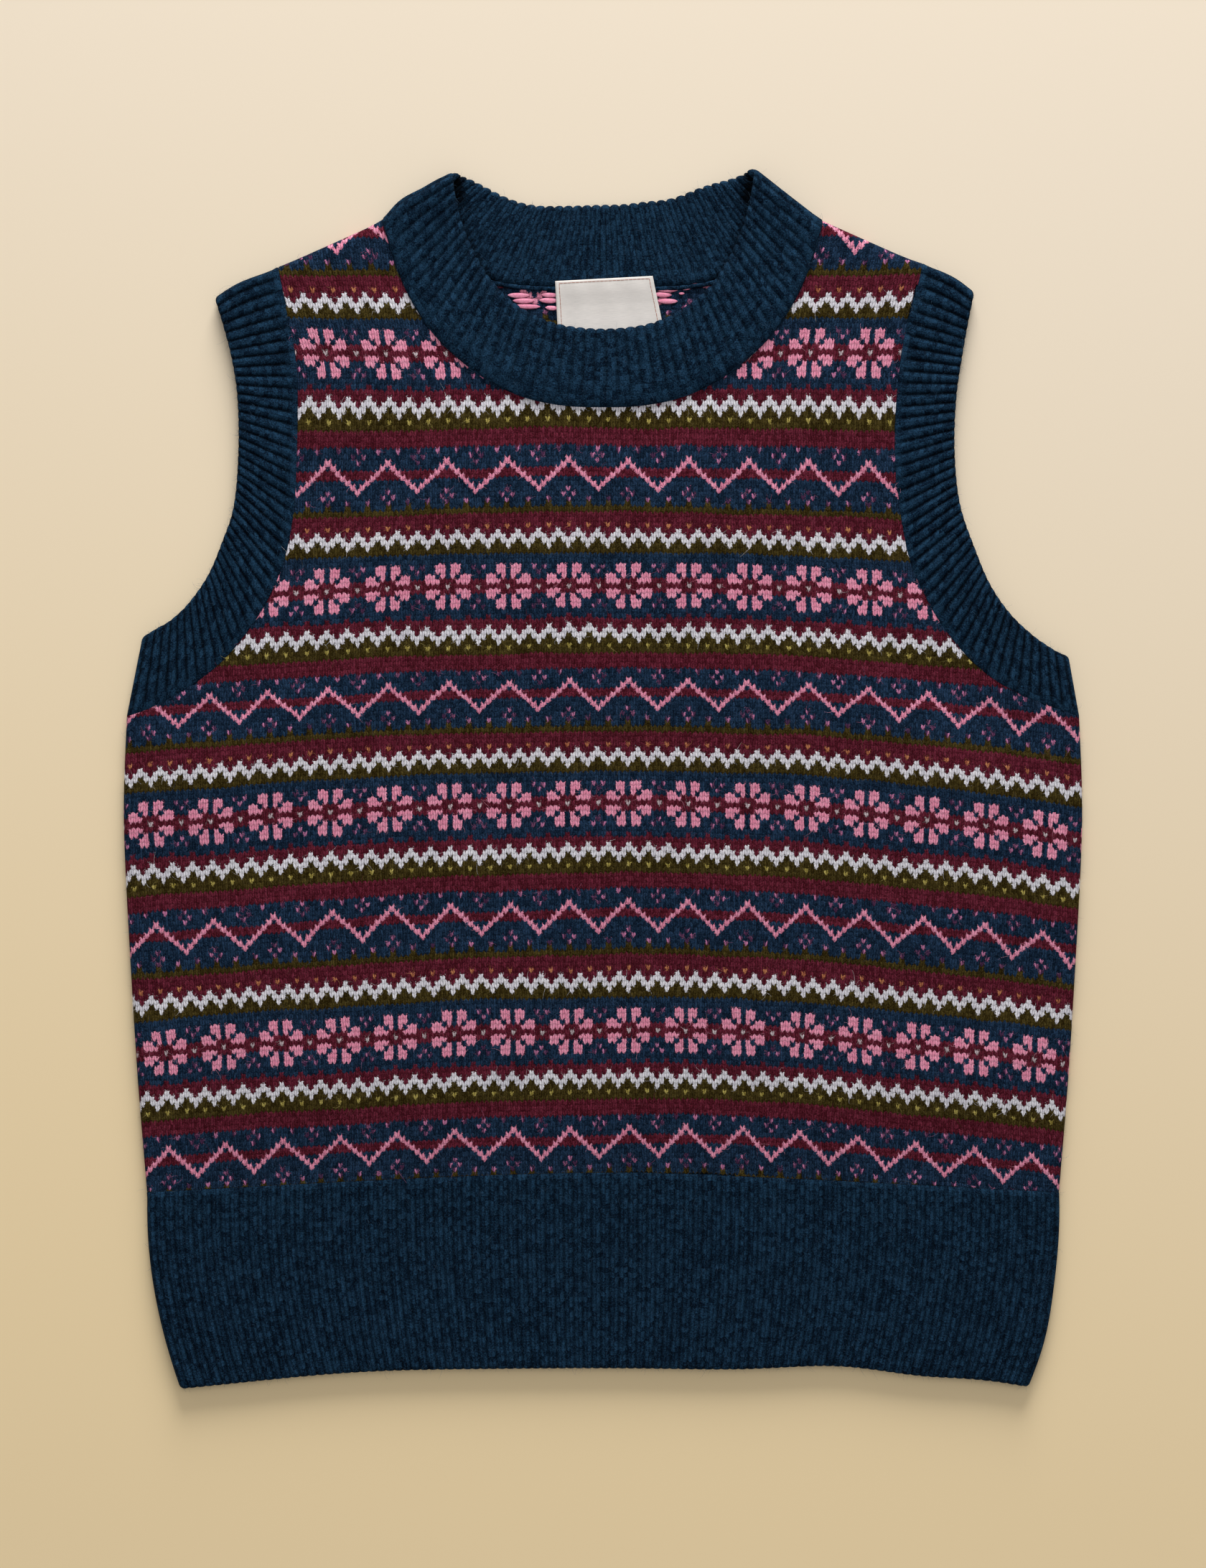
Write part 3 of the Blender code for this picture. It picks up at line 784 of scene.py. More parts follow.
def wool_material(name, sizes, yarns, furrow=None, purl=False):
    """Felted wool: soft stitch legs, ragged colour changes, mottled dye and a fuzzy nap.

    Painted shade darkens the gaps between legs and rows, a rib's furrows and the neckband's
    crevice. furrow, for ribs, is a row of FURROWS. purl turns the stitches' legs on their side.
    """
    shop = Workshop(name, 0.95, Specular_IOR_Level=0.04)
    wale, course, _ = shop.split(shop.node("ShaderNodeUVMap", {"uv_map": UV_NAME}))
    body = shop.node("ShaderNodeTexCoord", output=3)
    fray = shop.split(shop.noise(body, 1500.0, 1.0, 0.5, output=1))
    nap = shop.noise(body, 3000.0, 2.0, 0.7)
    mottle = shop.noise(body, 1350.0, 2.0, 0.65)
    clump = shop.noise(body, 380.0, 2.0, 0.6)
    cloud = shop.noise(body, 45.0, 2.0, 0.5)

    yarn = shop.attribute("yarn")
    stray_x = (fray[0] - 0.5) * sizes.fray
    stray_y = (fray[1] - 0.5) * sizes.fray
    across = wale.fraction() + stray_x
    along = course.fraction() + stray_y
    split = abs(wale.fraction() - 0.5) * 2.0
    if furrow is None:
        left, right, below = shop.split(shop.attribute("beside", output=1))
        above = shop.attribute("above")
        tuck = (1.0 - yarn.below(ROSE + 0.5)) * 0.06
        yarn = creep(yarn, left, across, tuck + 0.06)
        yarn = creep(yarn, right, 1.0 - across, tuck + 0.06)
        yarn = creep(yarn, below, along, split * split * 0.20 + tuck)
        yarn = creep(yarn, above, 1.0 - along, (1.0 - split) * 0.14 + tuck)
        for beside, across_room in ((left, across), (right, 1.0 - across)):
            for next_row, along_room in ((below, along), (above, 1.0 - along)):
                both = beside.most(next_row)
                covered = (across_room + along_room).below(sizes.rounding)
                yarn = yarn + covered * (yarn.least(both) - yarn)

    leg = shop.vector((wale * 2.0).whole(), course.whole())
    per_leg = shop.speckle(leg)
    deep = yarn_ramp(shop, yarn, yarns, "_deep")
    light = yarn_ramp(shop, yarn, yarns, "")
    uneven = abs(yarn - MAUVE).below(0.5) * 0.5 + 0.12
    tone = mottle * 0.45 + nap * 0.47 + clump * 0.08 + (per_leg - 0.5) * uneven
    dyed = shop.mix(tone.eased(0.38, 0.72), deep, light)
    half = abs((wale + stray_x * 0.5).fraction() - 0.5) * 2.0
    if furrow:
        # Ribs get painted shade: darker furrows, a darker line between a rib's two legs and darker
        # ends of its rows
        painted_furrow_shade, fade_from, fade_to, last, mid_line, wander = furrow
        depth = course.eased(fade_from, fade_to) * (1.0 - course.eased(last - fade_to, last))
        bead = abs((course + stray_y).fraction() - 0.5) * 2.0
        wavy = half + (clump * 0.6 + mottle * 0.4 - 0.5) * wander
        hollow = wavy.eased(0.38, 1.0) * (0.35 + depth * 0.65) * painted_furrow_shade
        line = (1.0 - half.eased(0.0, 0.30)) * mid_line
        shade = (1.0 - hollow) * (1.0 - line) * (1.0 - bead ** 3.0 * 0.07)
        # Painted shade in the neckband's crevice, from a value on each face
        shade = shade * (1.0 - shop.attribute("gloom"))
        bulge = 1.0 - half ** 2.5 - line + (1.0 - bead ** 3.0) * 0.12
    else:
        leg_round = abs(((wale + stray_x * 0.6) * 2.0).fraction() - 0.5) * 2.0
        pinch = abs((course + stray_y * 0.6).fraction() - 0.5) * 2.0
        if purl:
            leg_round, pinch = pinch, leg_round
        # Painted shade in the gaps between a stitch's legs and between its rows
        shade = (1.0 - leg_round ** 2.5 * 0.42) * (1.0 - pinch ** 3.0 * 0.32)
        bulge = (1.0 - leg_round * leg_round) * (1.0 - pinch ** 3.0 * 0.7)
    # The painted shade, times random tone from the cloud and clump noise, darkens the dyed colour
    painted_shade_and_tone = (shade * (1.12 - cloud * 0.24) * (0.96 + clump * 0.08)).clamped()
    colour = shop.mix(1.0, dyed, shop.vector(painted_shade_and_tone, painted_shade_and_tone, painted_shade_and_tone), "MULTIPLY")
    height = bulge * 0.8 + nap * 0.5 + mottle * 0.4
    normal = shop.bump(height, sizes.stitch_relief, 0.8)
    return shop.finish(Base_Color=colour, Roughness=0.88 + nap * 0.1, Normal=normal)


def fibre_material(name, yarns):
    shop = Workshop(name, 0.95, Sheen_Weight=0.3, Specular_IOR_Level=0.1)
    light = yarn_ramp(shop, shop.attribute("yarn"), yarns, "", 1.1)
    pale = shop.mix(shop.attribute("tone") * 0.09, light, rgba((0.40, 0.40, 0.42)))
    return shop.finish(Base_Color=pale)


def label_material(name, colours):
    shop = Workshop(name, 0.42, Sheen_Weight=0.1, Specular_IOR_Level=0.45)
    place = shop.node("ShaderNodeUVMap", {"uv_map": UV_NAME})
    across, down, _ = shop.split(place)
    warp = (across * (2 * math.pi * 3.2)).wave()
    weft = (down * (2 * math.pi * 5.0)).wave()
    slub = shop.noise(shop.vector(across * 0.25, down * 4.0), 1.0, 3.0, 0.6)
    stain = shop.noise(shop.vector(across * 0.06, down * 0.06), 1.0, 2.0, 0.5)
    cloth = shop.mix(slub.eased(0.3, 0.7), rgba(colours.satin, 0.88), rgba(colours.satin))
    cloth = shop.mix(stain.eased(0.45, 0.8) * 0.25, cloth, rgba(colours.satin, 0.8))
    height = warp * 0.1 + weft * 0.3 + slub * 0.8
    normal = shop.bump(height, 0.00004, 0.5)
    return shop.finish(Base_Color=cloth, Roughness=0.36 + slub * 0.2, Normal=normal)


def thread_material(name, colours):
    shop = Workshop(name, 0.6, Sheen_Weight=0.2)
    place = shop.node("ShaderNodeTexCoord", output=3)
    twist = shop.noise(place, 4000.0, 2.0, 0.6)
    colour = shop.mix(twist.eased(0.3, 0.7), rgba(colours.stitching, 0.75),
                      rgba(colours.stitching, 1.15))
    return shop.finish(Base_Color=colour, Roughness=0.5 + twist * 0.2)


def floor_material(name, colours):
    shop = Workshop(name, 0.85, Specular_IOR_Level=0.1)
    place = shop.node("ShaderNodeTexCoord", output=3)
    across, along, _ = shop.split(place)
    tooth = shop.noise(place, 900.0, 3.0, 0.6)
    share = (along + across * 0.25).eased(-0.36, 0.42)
    colour = shop.mix(share, rgba(colours.floor_near), rgba(colours.floor))
    normal = shop.bump(tooth, 0.00002, 0.4)
    return shop.finish(Base_Color=colour, Roughness=0.82 + tooth * 0.08, Normal=normal)


# Panels


STITCH_LINES = np.array((-1.0, 1.0, -0.8, 1.0))  # furrow, leg, middle furrow, leg
LEVEL_LINE = 0.6  # on that scale, what lies at the cloth's own height
FRONT_ROUGH, INSIDE_ROUGH = 0.08, 0.12  # unevenness of the two sides that show
FLOOR_ROOM = 0.02  # between the floor and the back's face
SPLIT_LEVEL = 60  # the front is two meshes, which meet at the underarms
INSIDE_MIDDLE = np.array((0.0, 40.0))
INSIDE_INSET = 0.012  # how far the purl side's edges draw in to that middle, as a share
INSIDE_SINK = 0.1  # how far below the cloth's own height it lies
INSIDE_SHIFT = -9  # rows that the chart is moved on it


def front_panel(sizes, yarns):
    """The front's face: every stitch in two rounded legs, over the fold at sides and shoulders."""
    outline = panel_outline(FRONT_NECK)
    material = wool_material("front_wool", sizes, yarns)
    lines = len(STITCH_LINES)
    points, quads, stitches, places = knit_grid(outline, lines, CHEVRON, seed=11, wobble=0.05)
    plan, height = fold_over(points)
    lift = front_lift(plan, sizes.front_rise / MM, sizes.rise_width / MM)
    plan = settle(plan)
    legs = STITCH_LINES[np.round(places[:, 0] * lines).astype(int) % lines]
    bulge = sizes.leg_bulge / MM * (legs - LEVEL_LINE) + FRONT_ROUGH * rough(len(plan), 17)
    z = FOLD_RADIUS + PARTING + (FOLD_RADIUS - PARTING) * height + (lift + bulge) * height
    solid = np.column_stack([plan, z])
    values = chart_values(stitches)
    low = stitches[:, 1] < SPLIT_LEVEL
    for name, part, length, area in (("front_body", low, 0.226, 0.101),
                                     ("front_yoke", ~low, 0.243, 0.0603)):
        used, faces = np.unique(quads[part], return_inverse=True)
        faces = faces.reshape(-1, 4)
        piece = add_mesh(name, solid[used], faces, material, places[used][faces],
                         {key: value[part] for key, value in values.items()})
        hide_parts("front_panel")
    return solid, quads, values["yarn"]


def back_panel(sizes, yarns):
    """The back: its patterned face underneath and the purl side that shows inside the neck."""
    outline = panel_outline(BACK_NECK)
    points, quads, stitches, places = knit_grid(outline, 2, CHEVRON, seed=23, wobble=0.04)
    plan, height = fold_over(points)
    z = (FOLD_RADIUS - PARTING) * (1 - height) + FLOOR_ROOM
    face = add_mesh("back_face", np.column_stack([settle(plan), z]), quads[:, ::-1],
                    wool_material("back_wool", sizes, yarns), places[quads[:, ::-1]],
                    chart_values(stitches))
    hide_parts("back_panel")

    points, quads, stitches, places = knit_grid(outline, 1, 0.0, seed=29, wobble=0.06)
    bumps = INSIDE_ROUGH * rough(len(points), 31)
    plan, height = fold_over(points)
    inset = 1 - (1 - height) * INSIDE_INSET
    plan = settle(INSIDE_MIDDLE + (plan - INSIDE_MIDDLE) * inset[:, None])
    inner_points = np.column_stack([plan, PANEL_CLOTH - INSIDE_SINK + bumps])
    inner = add_mesh("back_inside", inner_points, quads,
                     wool_material("purl_wool", sizes, yarns, purl=True), places[quads],
                     chart_values(stitches, INSIDE_SHIFT))
    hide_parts("back_panel")


# Bands


RIB_PHASES = np.array((0.0, 0.13, 0.30, 0.5, 0.70, 0.87))  # where each rib has its points
FOLD_RIB = 4.6  # about how far apart the ribs round a fold are
BAND_KNITS = {
    # band: rows, way its tips point, lean of its ribs over the edge, length over which its
    # ribs fade in at the seam, share of the full rib depth, drop at the seam
    "hem": (39, 1, 0.15, 3.2, 1.0, 0.0),
    "armband": (12, -1, 0.1, 3.2, 1.0, 0.0),
    "neckband": (15, -1, 0.6, 5.0, 0.72, 1.2),
}
BACK_FURROW = 0.5  # depth of the furrows inside the back neck, as a share
EDGE_STEPS = 6  # steps in the half turn round a band's edge
ROW_HEIGHT = 2.4
SEAM_TURN = ((-0.6, -2.0), (-0.45, -0.9), (0.0, -0.25))  # past the seam, and up from the face


def rib_profile(phase):
    """Height across a rib, 0 in the furrow and about 1 on its two legs."""
    place = np.mod(phase, 1.0)
    return 1 - np.abs(2 * place - 1) ** 2.0 - 0.10 * np.exp(-((place - 0.5) / 0.09) ** 2)


class HalfBand:
    """One half of a band in plan, between its two folds."""

    def __init__(self, curves, reach):
        self.paths = [smooth_curve(curve, 240) for curve in curves]
        lengths = np.array([path_length(path) for path in self.paths])
        near = reach / lengths
        self.ends = [self.across(np.zeros(len(near))), self.across(np.ones(len(near)))]
        self.ways = [self._ways(self.ends[0], self.across(near)),
                     self._ways(self.ends[1], self.across(1 - near))]
        self.rooms = [reach * np.linalg.norm(way, axis=1) / lengths for way in self.ways]

    def across(self, shares):
        return np.array([resample(path, [share])[0] for path, share in zip(self.paths, shares)])

    @staticmethod
    def _ways(line, next_line):
        """The step along each curve that leads 1 mm square in from the fold's line."""
        along = (line[-1] - line[0]) / np.linalg.norm(line[-1] - line[0])
        square = np.array((along[1], -along[0]))
        steps = next_line - line
        square = square * np.sign(steps[0] @ square)
        return steps / (steps @ square)[:, None]

    def lines(self, shares):
        """Lines across the band at shares of its length between the folds."""
        start, end = self.rooms
        placed = [resample(path, first + (1 - first - last) * shares)
                  for path, first, last in zip(self.paths, start, end)]
        return np.stack(placed, axis=1)


class Band:
    """A ribbed loop: stations all the way round it, each a line from the seam to the edge."""

    def __init__(self, front_curves, back_curves, front_ribs, back_ribs, cloth, gap):
        self.hollow = gap / 2
        self.radius = cloth + gap / 2
        front = HalfBand(front_curves, self.radius)
        back = HalfBand(back_curves, self.radius)
        self.corners = [end[-1] for end in front.ends]
        fold_ribs = max(1, round(math.pi * self.radius / FOLD_RIB))
        lines, ways, angles, phases = [], [], [], []

        def half(band, ribs, angle, backwards, first_phase):
            shares = np.concatenate([(np.arange(-1, ribs)[:, None] + 0.25 + RIB_PHASES).ravel()
                                     / ribs, [1.0]])
            shares = np.unique(shares[(shares >= 0.0) & (shares <= 1.0)])
            placed = band.lines(1 - shares if backwards else shares)
            lines.append(placed)
            ways.append(np.zeros_like(placed))
            angles.append(np.full(len(shares), angle))
            phases.append(first_phase + shares * ribs - 0.25)

        def fold(end, front_way, back_way, turn, first_phase):
            count = fold_ribs * len(RIB_PHASES)
            shares = np.arange(1, count) / count
            angle = turn * (math.pi / 2 - shares * math.pi)
            lines.append(np.repeat(end[None], len(shares), axis=0))
            ways.append(np.where(angle[:, None, None] > 0, front_way, back_way))
            angles.append(angle)
            phases.append(first_phase + shares * fold_ribs - 0.25)

        half(front, front_ribs, math.pi / 2, False, 0)
        fold(front.ends[1], front.ways[1], back.ways[1], 1, front_ribs)
        half(back, back_ribs, -math.pi / 2, True, front_ribs + fold_ribs)
        fold(front.ends[0], front.ways[0], back.ways[0], -1, front_ribs + fold_ribs + back_ribs)
        self.lines = np.concatenate(lines)
        self.ways = np.concatenate(ways)
        self.angles = np.concatenate(angles)
        self.phases = np.concatenate(phases)

    def place(self, share, radius):
        """Points at shares of each station's line and distances from the middle plane."""
        def along(lines):
            if lines.shape[1] == 2:
                return lines[:, 0] + (lines[:, 1] - lines[:, 0]) * share[:, None]
            first, middle, last = ((1 - share) * (1 - 2 * share), 4 * share * (1 - share),
                                   share * (2 * share - 1))
            return (lines[:, 0] * first[:, None] + lines[:, 1] * middle[:, None]
                    + lines[:, 2] * last[:, None])
        room = self.radius - radius * np.cos(self.angles)
        plan = along(self.lines) + along(self.ways) * room[:, None]
        return np.column_stack([plan, self.radius + radius * np.sin(self.angles)])

    def surface(self, rib_depth, knit, inside_ribs):
        """Loops of points from the seam over the face to the edge and back inside.

        knit is a row of BAND_KNITS. Also gives the course of each loop, and the loop at which the
        inside starts.
        """
        rows, tips, overhang, fade_length, relief, seam_drop = knit
        depth = rib_depth * relief
        length = np.linalg.norm(self.lines[:, -1] - self.lines[:, 0], axis=1)
        rib = rib_profile(self.phases)
        lift = 0.5 + 0.5 * ease((math.pi / 2 - self.angles) / math.radians(120))
        half_cloth = (self.radius - self.hollow) / 2
        edge_share = half_cloth / length
        slant = tips * CHEVRON * 0.8 * (0.5 - np.abs(2 * np.mod(self.phases, 1.0) - 1))
        plain = np.ones_like(rib)
        turned = np.clip(np.sin(self.angles), 0.0, 1.0)
        away = np.min([np.linalg.norm(self.lines[:, -1] - corner, axis=1)
                       for corner in self.corners], axis=0)
        if inside_ribs:
            overhang = overhang * (1 - turned * (1 - 0.7 * ease(away / 55.0)))
        loops, courses = [], []

        def loop(share, radius, course):
            loops.append(self.place(share, radius))
            courses.append(course * plain)

        for distance, sink in SEAM_TURN:
            loop(distance / length, self.radius + sink - seam_drop * turned,
                 distance / ROW_HEIGHT)
        for row in range(rows + 1):
            share = (0.5 / length) * (1 - row / rows) + (1 - edge_share) * row / rows
            fade = ease((share * length - 0.6) / fade_length)
            free = min(row, rows - row, 1)
            radius = self.radius + depth * fade * (rib - lift) + 0.12 * (1 - fade)
            radius = radius - seam_drop * turned * (1 - ease((share * length + 2.0) / 11.0))
            radius = np.where(self.angles < -1.5, np.minimum(radius, self.radius), radius)
            loop(share + slant * free / rows * fade, radius, row)
        for step in range(1, EDGE_STEPS):
            turn = math.pi * step / EDGE_STEPS
            wide = (2 * rib - 1) * overhang * math.sin(turn) / length
            outer = depth * (rib - lift) * (0.5 + 0.5 * math.cos(turn))
            radius = (self.radius + self.hollow) / 2 + half_cloth * math.cos(turn) + outer
            loop(1 - edge_share * (1 - math.sin(turn)) + wide, radius, rows + step * 0.35)
        first_inner = len(loops)
        inner_rows = rows if inside_ribs else 5
        back = np.clip(-self.angles / (math.pi / 2), 0.0, 1.0) if inside_ribs else 0 * plain
        for row in range(inner_rows + 1):
            share = (1 - edge_share) * (1 - row / inner_rows)
            furrow = depth * BACK_FURROW * (1 - rib) * back
            bent = slant * min(row, inner_rows - row, 1) / inner_rows * back
            loop(share + bent, self.hollow + furrow, rows + 2 + row * rows / inner_rows)
        return np.array(loops), np.array(courses), first_inner


CORNER_REACH = 27.0  # how far round a fold the front neckband stands up


def lift_corners(points, sizes):
    """The front of the neckband stands up off the back one at its two folds."""
    lifted = points.copy()
    for corner_x in (-FRONT_NECK[-1][2], FRONT_NECK[-1][2]):
        away = np.hypot(points[:, 0] - corner_x, points[:, 1] - FRONT_NECK[-1][3])
        share = np.exp(-(away / CORNER_REACH) ** 2) * ease((points[:, 2] - 2.5) / 3.5)
        lifted[:, 2] += sizes.corner_lift / MM * share
    return lifted


# Painted shade on the back neckband: its strength by the folds, and along the rest of the front's
# edge
CORNER_PAINTED_SHADE, EDGE_PAINTED_SHADE = 0.92, 0.5  # darkness by the folds, and along the rest of the edge


def painted_crevice_shade(points, quads):
    """How much painted shade darkens each face of the back neckband, in the crevice beside the
    front's edge.
    """
    edge = smooth_curve(both_halves(edge_of(FRONT_NECK)), 200)
    middle = points[quads].mean(axis=1)
    distance = nearest_on(edge, middle[:, :2])[1]
    away = np.hypot(np.abs(middle[:, 0]) - FRONT_NECK[-1][2], middle[:, 1] - FRONT_NECK[-1][3])
    low = (middle[:, 2] > 2.0) & (middle[:, 2] < NECK_CLOTH + NECK_GAP / 2)
    corner = CORNER_PAINTED_SHADE * ease((8.0 - distance) / 6.0) * ease((24.0 - away) / 10.0)
    return low * np.maximum(corner, EDGE_PAINTED_SHADE * ease((3.6 - distance) / 2.8))


def add_band(name, kind, band, material, sizes):
    """A closed ribbed loop as one mesh, knitted in the ground yarn: its points and quads."""
    inside_ribs = kind == "neckband"
    loops, courses, first_inner = band.surface(sizes.rib_depth / MM, BAND_KNITS[kind],
                                               inside_ribs)
    turns, stations = loops.shape[:2]
    flat = loops.reshape(-1, 3)
    points = settle(lift_corners(flat, sizes) if inside_ribs else flat)
    turn, station = np.meshgrid(np.arange(turns), np.arange(stations), indexing="ij")
    after_turn, after_station = (turn + 1) % turns, (station + 1) % stations
    quads = np.stack([turn * stations + station, turn * stations + after_station,
                      after_turn * stations + after_station, after_turn * stations + station],
                     axis=-1).reshape(-1, 4)
    phases = np.append(band.phases, band.phases[0] + np.ceil(band.phases[-1] + 0.25))
    courses = np.vstack([courses, courses[-1:] + 1])
    here, there = station.ravel(), station.ravel() + 1
    first, second = turn.ravel(), turn.ravel() + 1
    places = np.stack([
        np.stack([phases[here], courses[first, here]], axis=-1),
        np.stack([phases[there], courses[first, after_station.ravel()]], axis=-1),
        np.stack([phases[there], courses[second, after_station.ravel()]], axis=-1),
        np.stack([phases[here], courses[second, here]], axis=-1)], axis=1)
    values = {"yarn": np.full(len(quads), MARL)}
    if inside_ribs:
        inner = (turn >= first_inner) & (band.angles[station] < -1.5)
        places[inner.ravel(), :, 0] *= 2
        # Painted shade in the crevice beside the front neckband's edge
        values["gloom"] = painted_crevice_shade(flat, quads)
    piece = add_mesh(name + "_knit", points, quads, material, places, values)
    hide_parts(name)
    return points, quads


def hem_rib(sizes, material):
    curves = [hem_line(line) for line in HEM_LINES]
    band = Band(curves, curves, sizes.hem_ribs, sizes.hem_ribs, PANEL_CLOTH, LAYER_GAP)
    return add_band("hem_rib", "hem", band, material, sizes)


def armband(side_name, table, ribs, sizes, material):
    curves = [seam_of(table), edge_of(table)]
    band = Band(curves, curves, ribs, ribs, PANEL_CLOTH, LAYER_GAP)
    return add_band(side_name + "_armband", "armband", band, material, sizes)


def neckband(sizes, material):
    front = [both_halves(seam_of(FRONT_NECK)), both_halves(edge_of(FRONT_NECK))]
    back = [both_halves(seam_of(BACK_NECK)), both_halves(edge_of(BACK_NECK))]
    band = Band(front, back, sizes.neck_front_ribs, sizes.neck_back_ribs, NECK_CLOTH, NECK_GAP)
    return add_band("neckband", "neckband", band, material, sizes)


# Inside the back neck

FLOATS = (
    # x_from, y_from, x_to, y_to, width of the carried yarns that show beside the label
    (-45.8, 233.2, -35.2, 233.1, 2.8),
    (-43.4, 230.6, -33.1, 230.5, 2.8),
    (-43.0, 228.0, -30.2, 227.6, 2.6),
    (-29.8, 233.5, -21.5, 233.2, 2.6),
    (-30.6, 230.8, -21.5, 230.6, 2.8),
    (-27.8, 227.3, -21.5, 226.9, 2.4),
    (24.0, 236.2, 36.0, 235.6, 2.5),
    (24.0, 233.8, 33.0, 233.2, 2.6),
    (26.0, 230.5, 35.9, 230.2, 2.8),
    (38.4, 235.8, 45.6, 238.9, 2.2),
    (36.5, 234.1, 39.2, 234.1, 1.3),
)


ROLL_DROP, ROLL_Z = 1.5, 3.75  # of the neck seam's rolled edge, from the seam and the floor
ROLL_WIDTH, ROLL_HEIGHT = 2.3, 1.6
FLOAT_Z, FLOAT_HEIGHT = 3.2, 0.9  # of the carried yarns
FLOAT_ARCH, FLOAT_SAG = 0.5, 0.3  # in their middle, upwards and towards the hem


def cords(paths, widths, height, taper=False):
    """Round strands along paths of points, narrower at their ends if they taper."""
    sides, points, faces, places = 8, [], [], []
    turns = np.arange(sides) / sides * 2 * math.pi
    for number, (path, width) in enumerate(zip(paths, widths)):
        way = np.gradient(path, axis=0)
        way /= np.linalg.norm(way, axis=1)[:, None]
        beside = np.column_stack([-way[:, 1], way[:, 0], 0 * way[:, 0]])
        beside /= np.linalg.norm(beside, axis=1)[:, None]
        share = np.linspace(0.0, 1.0, len(path))
        full = np.sqrt(np.clip(1.02 - (2 * share - 1) ** 2, 0.0, 1.0)) if taper else 1 + 0 * share
        first = len(points)
        for step, spot in enumerate(path):
            spread = np.cos(turns)[:, None] * beside[step] * width / 2
            rise = np.sin(turns)[:, None] * np.array((0.0, 0.0, height / 2))
            points.extend(spot + (spread + rise) * full[step])
        for step in range(len(path) - 1):
            for side in range(sides):
                here, after = first + step * sides + side, first + step * sides
                after += (side + 1) % sides
                faces.append((here, after, after + sides, here + sides))
                across, along = side / sides * 2, step * 0.5 + number * 7
                places.append([(across, along), (across + 2 / sides, along),
                               (across + 2 / sides, along + 0.5), (across, along + 0.5)])
    return points, faces, np.array(places)


def seam_roll(material):
    """The neck seam's rolled edge, below the back of the neckband."""
    seam = smooth_curve(both_halves(seam_of(BACK_NECK)), 220)[30:-30]
    way = np.gradient(seam, axis=0)
    way /= np.linalg.norm(way, axis=1)[:, None]
    middle = seam + np.column_stack([way[:, 1], -way[:, 0]]) * ROLL_DROP
    path = np.column_stack([middle, np.full(len(middle), ROLL_Z)])
    path[:, 2] += 0.12 * rough(len(path), 41)
    points, faces, places = cords([path], [ROLL_WIDTH], ROLL_HEIGHT)
    add_mesh("neck_seam_roll", points, faces, material, places,
             {"yarn": np.full(len(faces), MARL)})


def back_floats(material):
    """Yarn carried across the wrong side of the back, where the neck shows it."""
    paths = []
    for x_from, y_from, x_to, y_to, _ in FLOATS:
        share = np.linspace(0.0, 1.0, 9)
        arch = np.sin(share * math.pi)
        paths.append(np.column_stack([x_from + (x_to - x_from) * share,
                                      y_from + (y_to - y_from) * share - FLOAT_SAG * arch,
                                      FLOAT_Z + FLOAT_ARCH * arch]))
    points, faces, places = cords(paths, [row[4] for row in FLOATS], FLOAT_HEIGHT, taper=True)
    add_mesh("back_neck_floats", points, faces, material, places,
             {"yarn": np.full(len(faces), ROSE)})


# Label


LABEL_LENGTH = 27.2
LABEL_CLOTH = 0.35
LABEL_X = 0.6
LABEL_TILT = math.radians(3.0)
LABEL_RIPPLE = 0.16
LABEL_CURLS = 0.35, 0.25  # how far its left and right sides curl up
LABEL_SECTIONS = (
    # share down, y above the neckband's seam, height of the underside, flare of its left side
    (0.0, 3.2, 4.80, 0.0),
    (0.12, 0.6, 4.80, 0.4),
    (0.21, -1.6, 4.65, 0.7),
    (0.28, -3.4, 4.45, 1.0),
    (0.36, -5.4, 4.15, 1.3),
    (0.50, -9.0, 3.70, 1.9),
    (0.68, -14.0, 3.40, 2.7),
    (0.84, -19.0, 3.30, 3.4),
    (1.0, -24.0, 3.30, 4.0),
)


def label_place(across, down, width):
    """A point of the label's face, from its share across, -0.5 to 0.5, and its share down."""
    table = np.array(LABEL_SECTIONS)
    distance, height, flare = (np.interp(down, table[:, 0], table[:, column])
                               for column in (1, 2, 3))
    reach = across * width + flare * (across + 0.5)
    cosine, sine = math.cos(LABEL_TILT), math.sin(LABEL_TILT)
    x = LABEL_X + reach * cosine - distance * sine
    y = BACK_NECK[0][1] + distance * cosine + reach * sine
    ripple = LABEL_RIPPLE * np.sin(across * 21.0 + 0.6) * ease(down / 0.3)
    left, right = LABEL_CURLS
    curl = left * ease((across - 0.38) / 0.12) + right * ease((-0.40 - across) / 0.10)
    return np.stack([x, y, height + 0.4 + ripple + curl * ease((down - 0.2) / 0.3)], axis=-1)


def label(sizes, colours):
    """A bare woven label: its face, its underside and the thin rim between them."""
    columns, rows = 48, 32
    width = sizes.label_width / MM
    across, down = np.meshgrid(np.linspace(-0.5, 0.5, columns + 1),
                               np.linspace(0.0, 1.0, rows + 1))
    face = label_place(across.ravel(), down.ravel(), width)
    under = face - (0.0, 0.0, LABEL_CLOTH)
    index = np.arange((columns + 1) * (rows + 1)).reshape(rows + 1, columns + 1)
    quads = np.stack([index[1:, :-1], index[1:, 1:], index[:-1, 1:], index[:-1, :-1]],
                     axis=-1).reshape(-1, 4)
    count = len(face)
    rim = np.concatenate([index[0], index[1:, -1], index[-1, -2::-1], index[-2:0:-1, 0]])
    after = np.roll(rim, -1)
    walls = np.stack([rim, after, after + count, rim + count], axis=-1)
    faces = np.vstack([quads, quads[:, ::-1] + count, walls])
    points = np.vstack([face, under])
    flat = np.column_stack([across.ravel() * width, down.ravel() * LABEL_LENGTH])
    piece = add_mesh("label_satin", points, faces, label_material("label_satin", colours),
                     np.vstack([flat, flat])[faces], None)
    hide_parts("label")


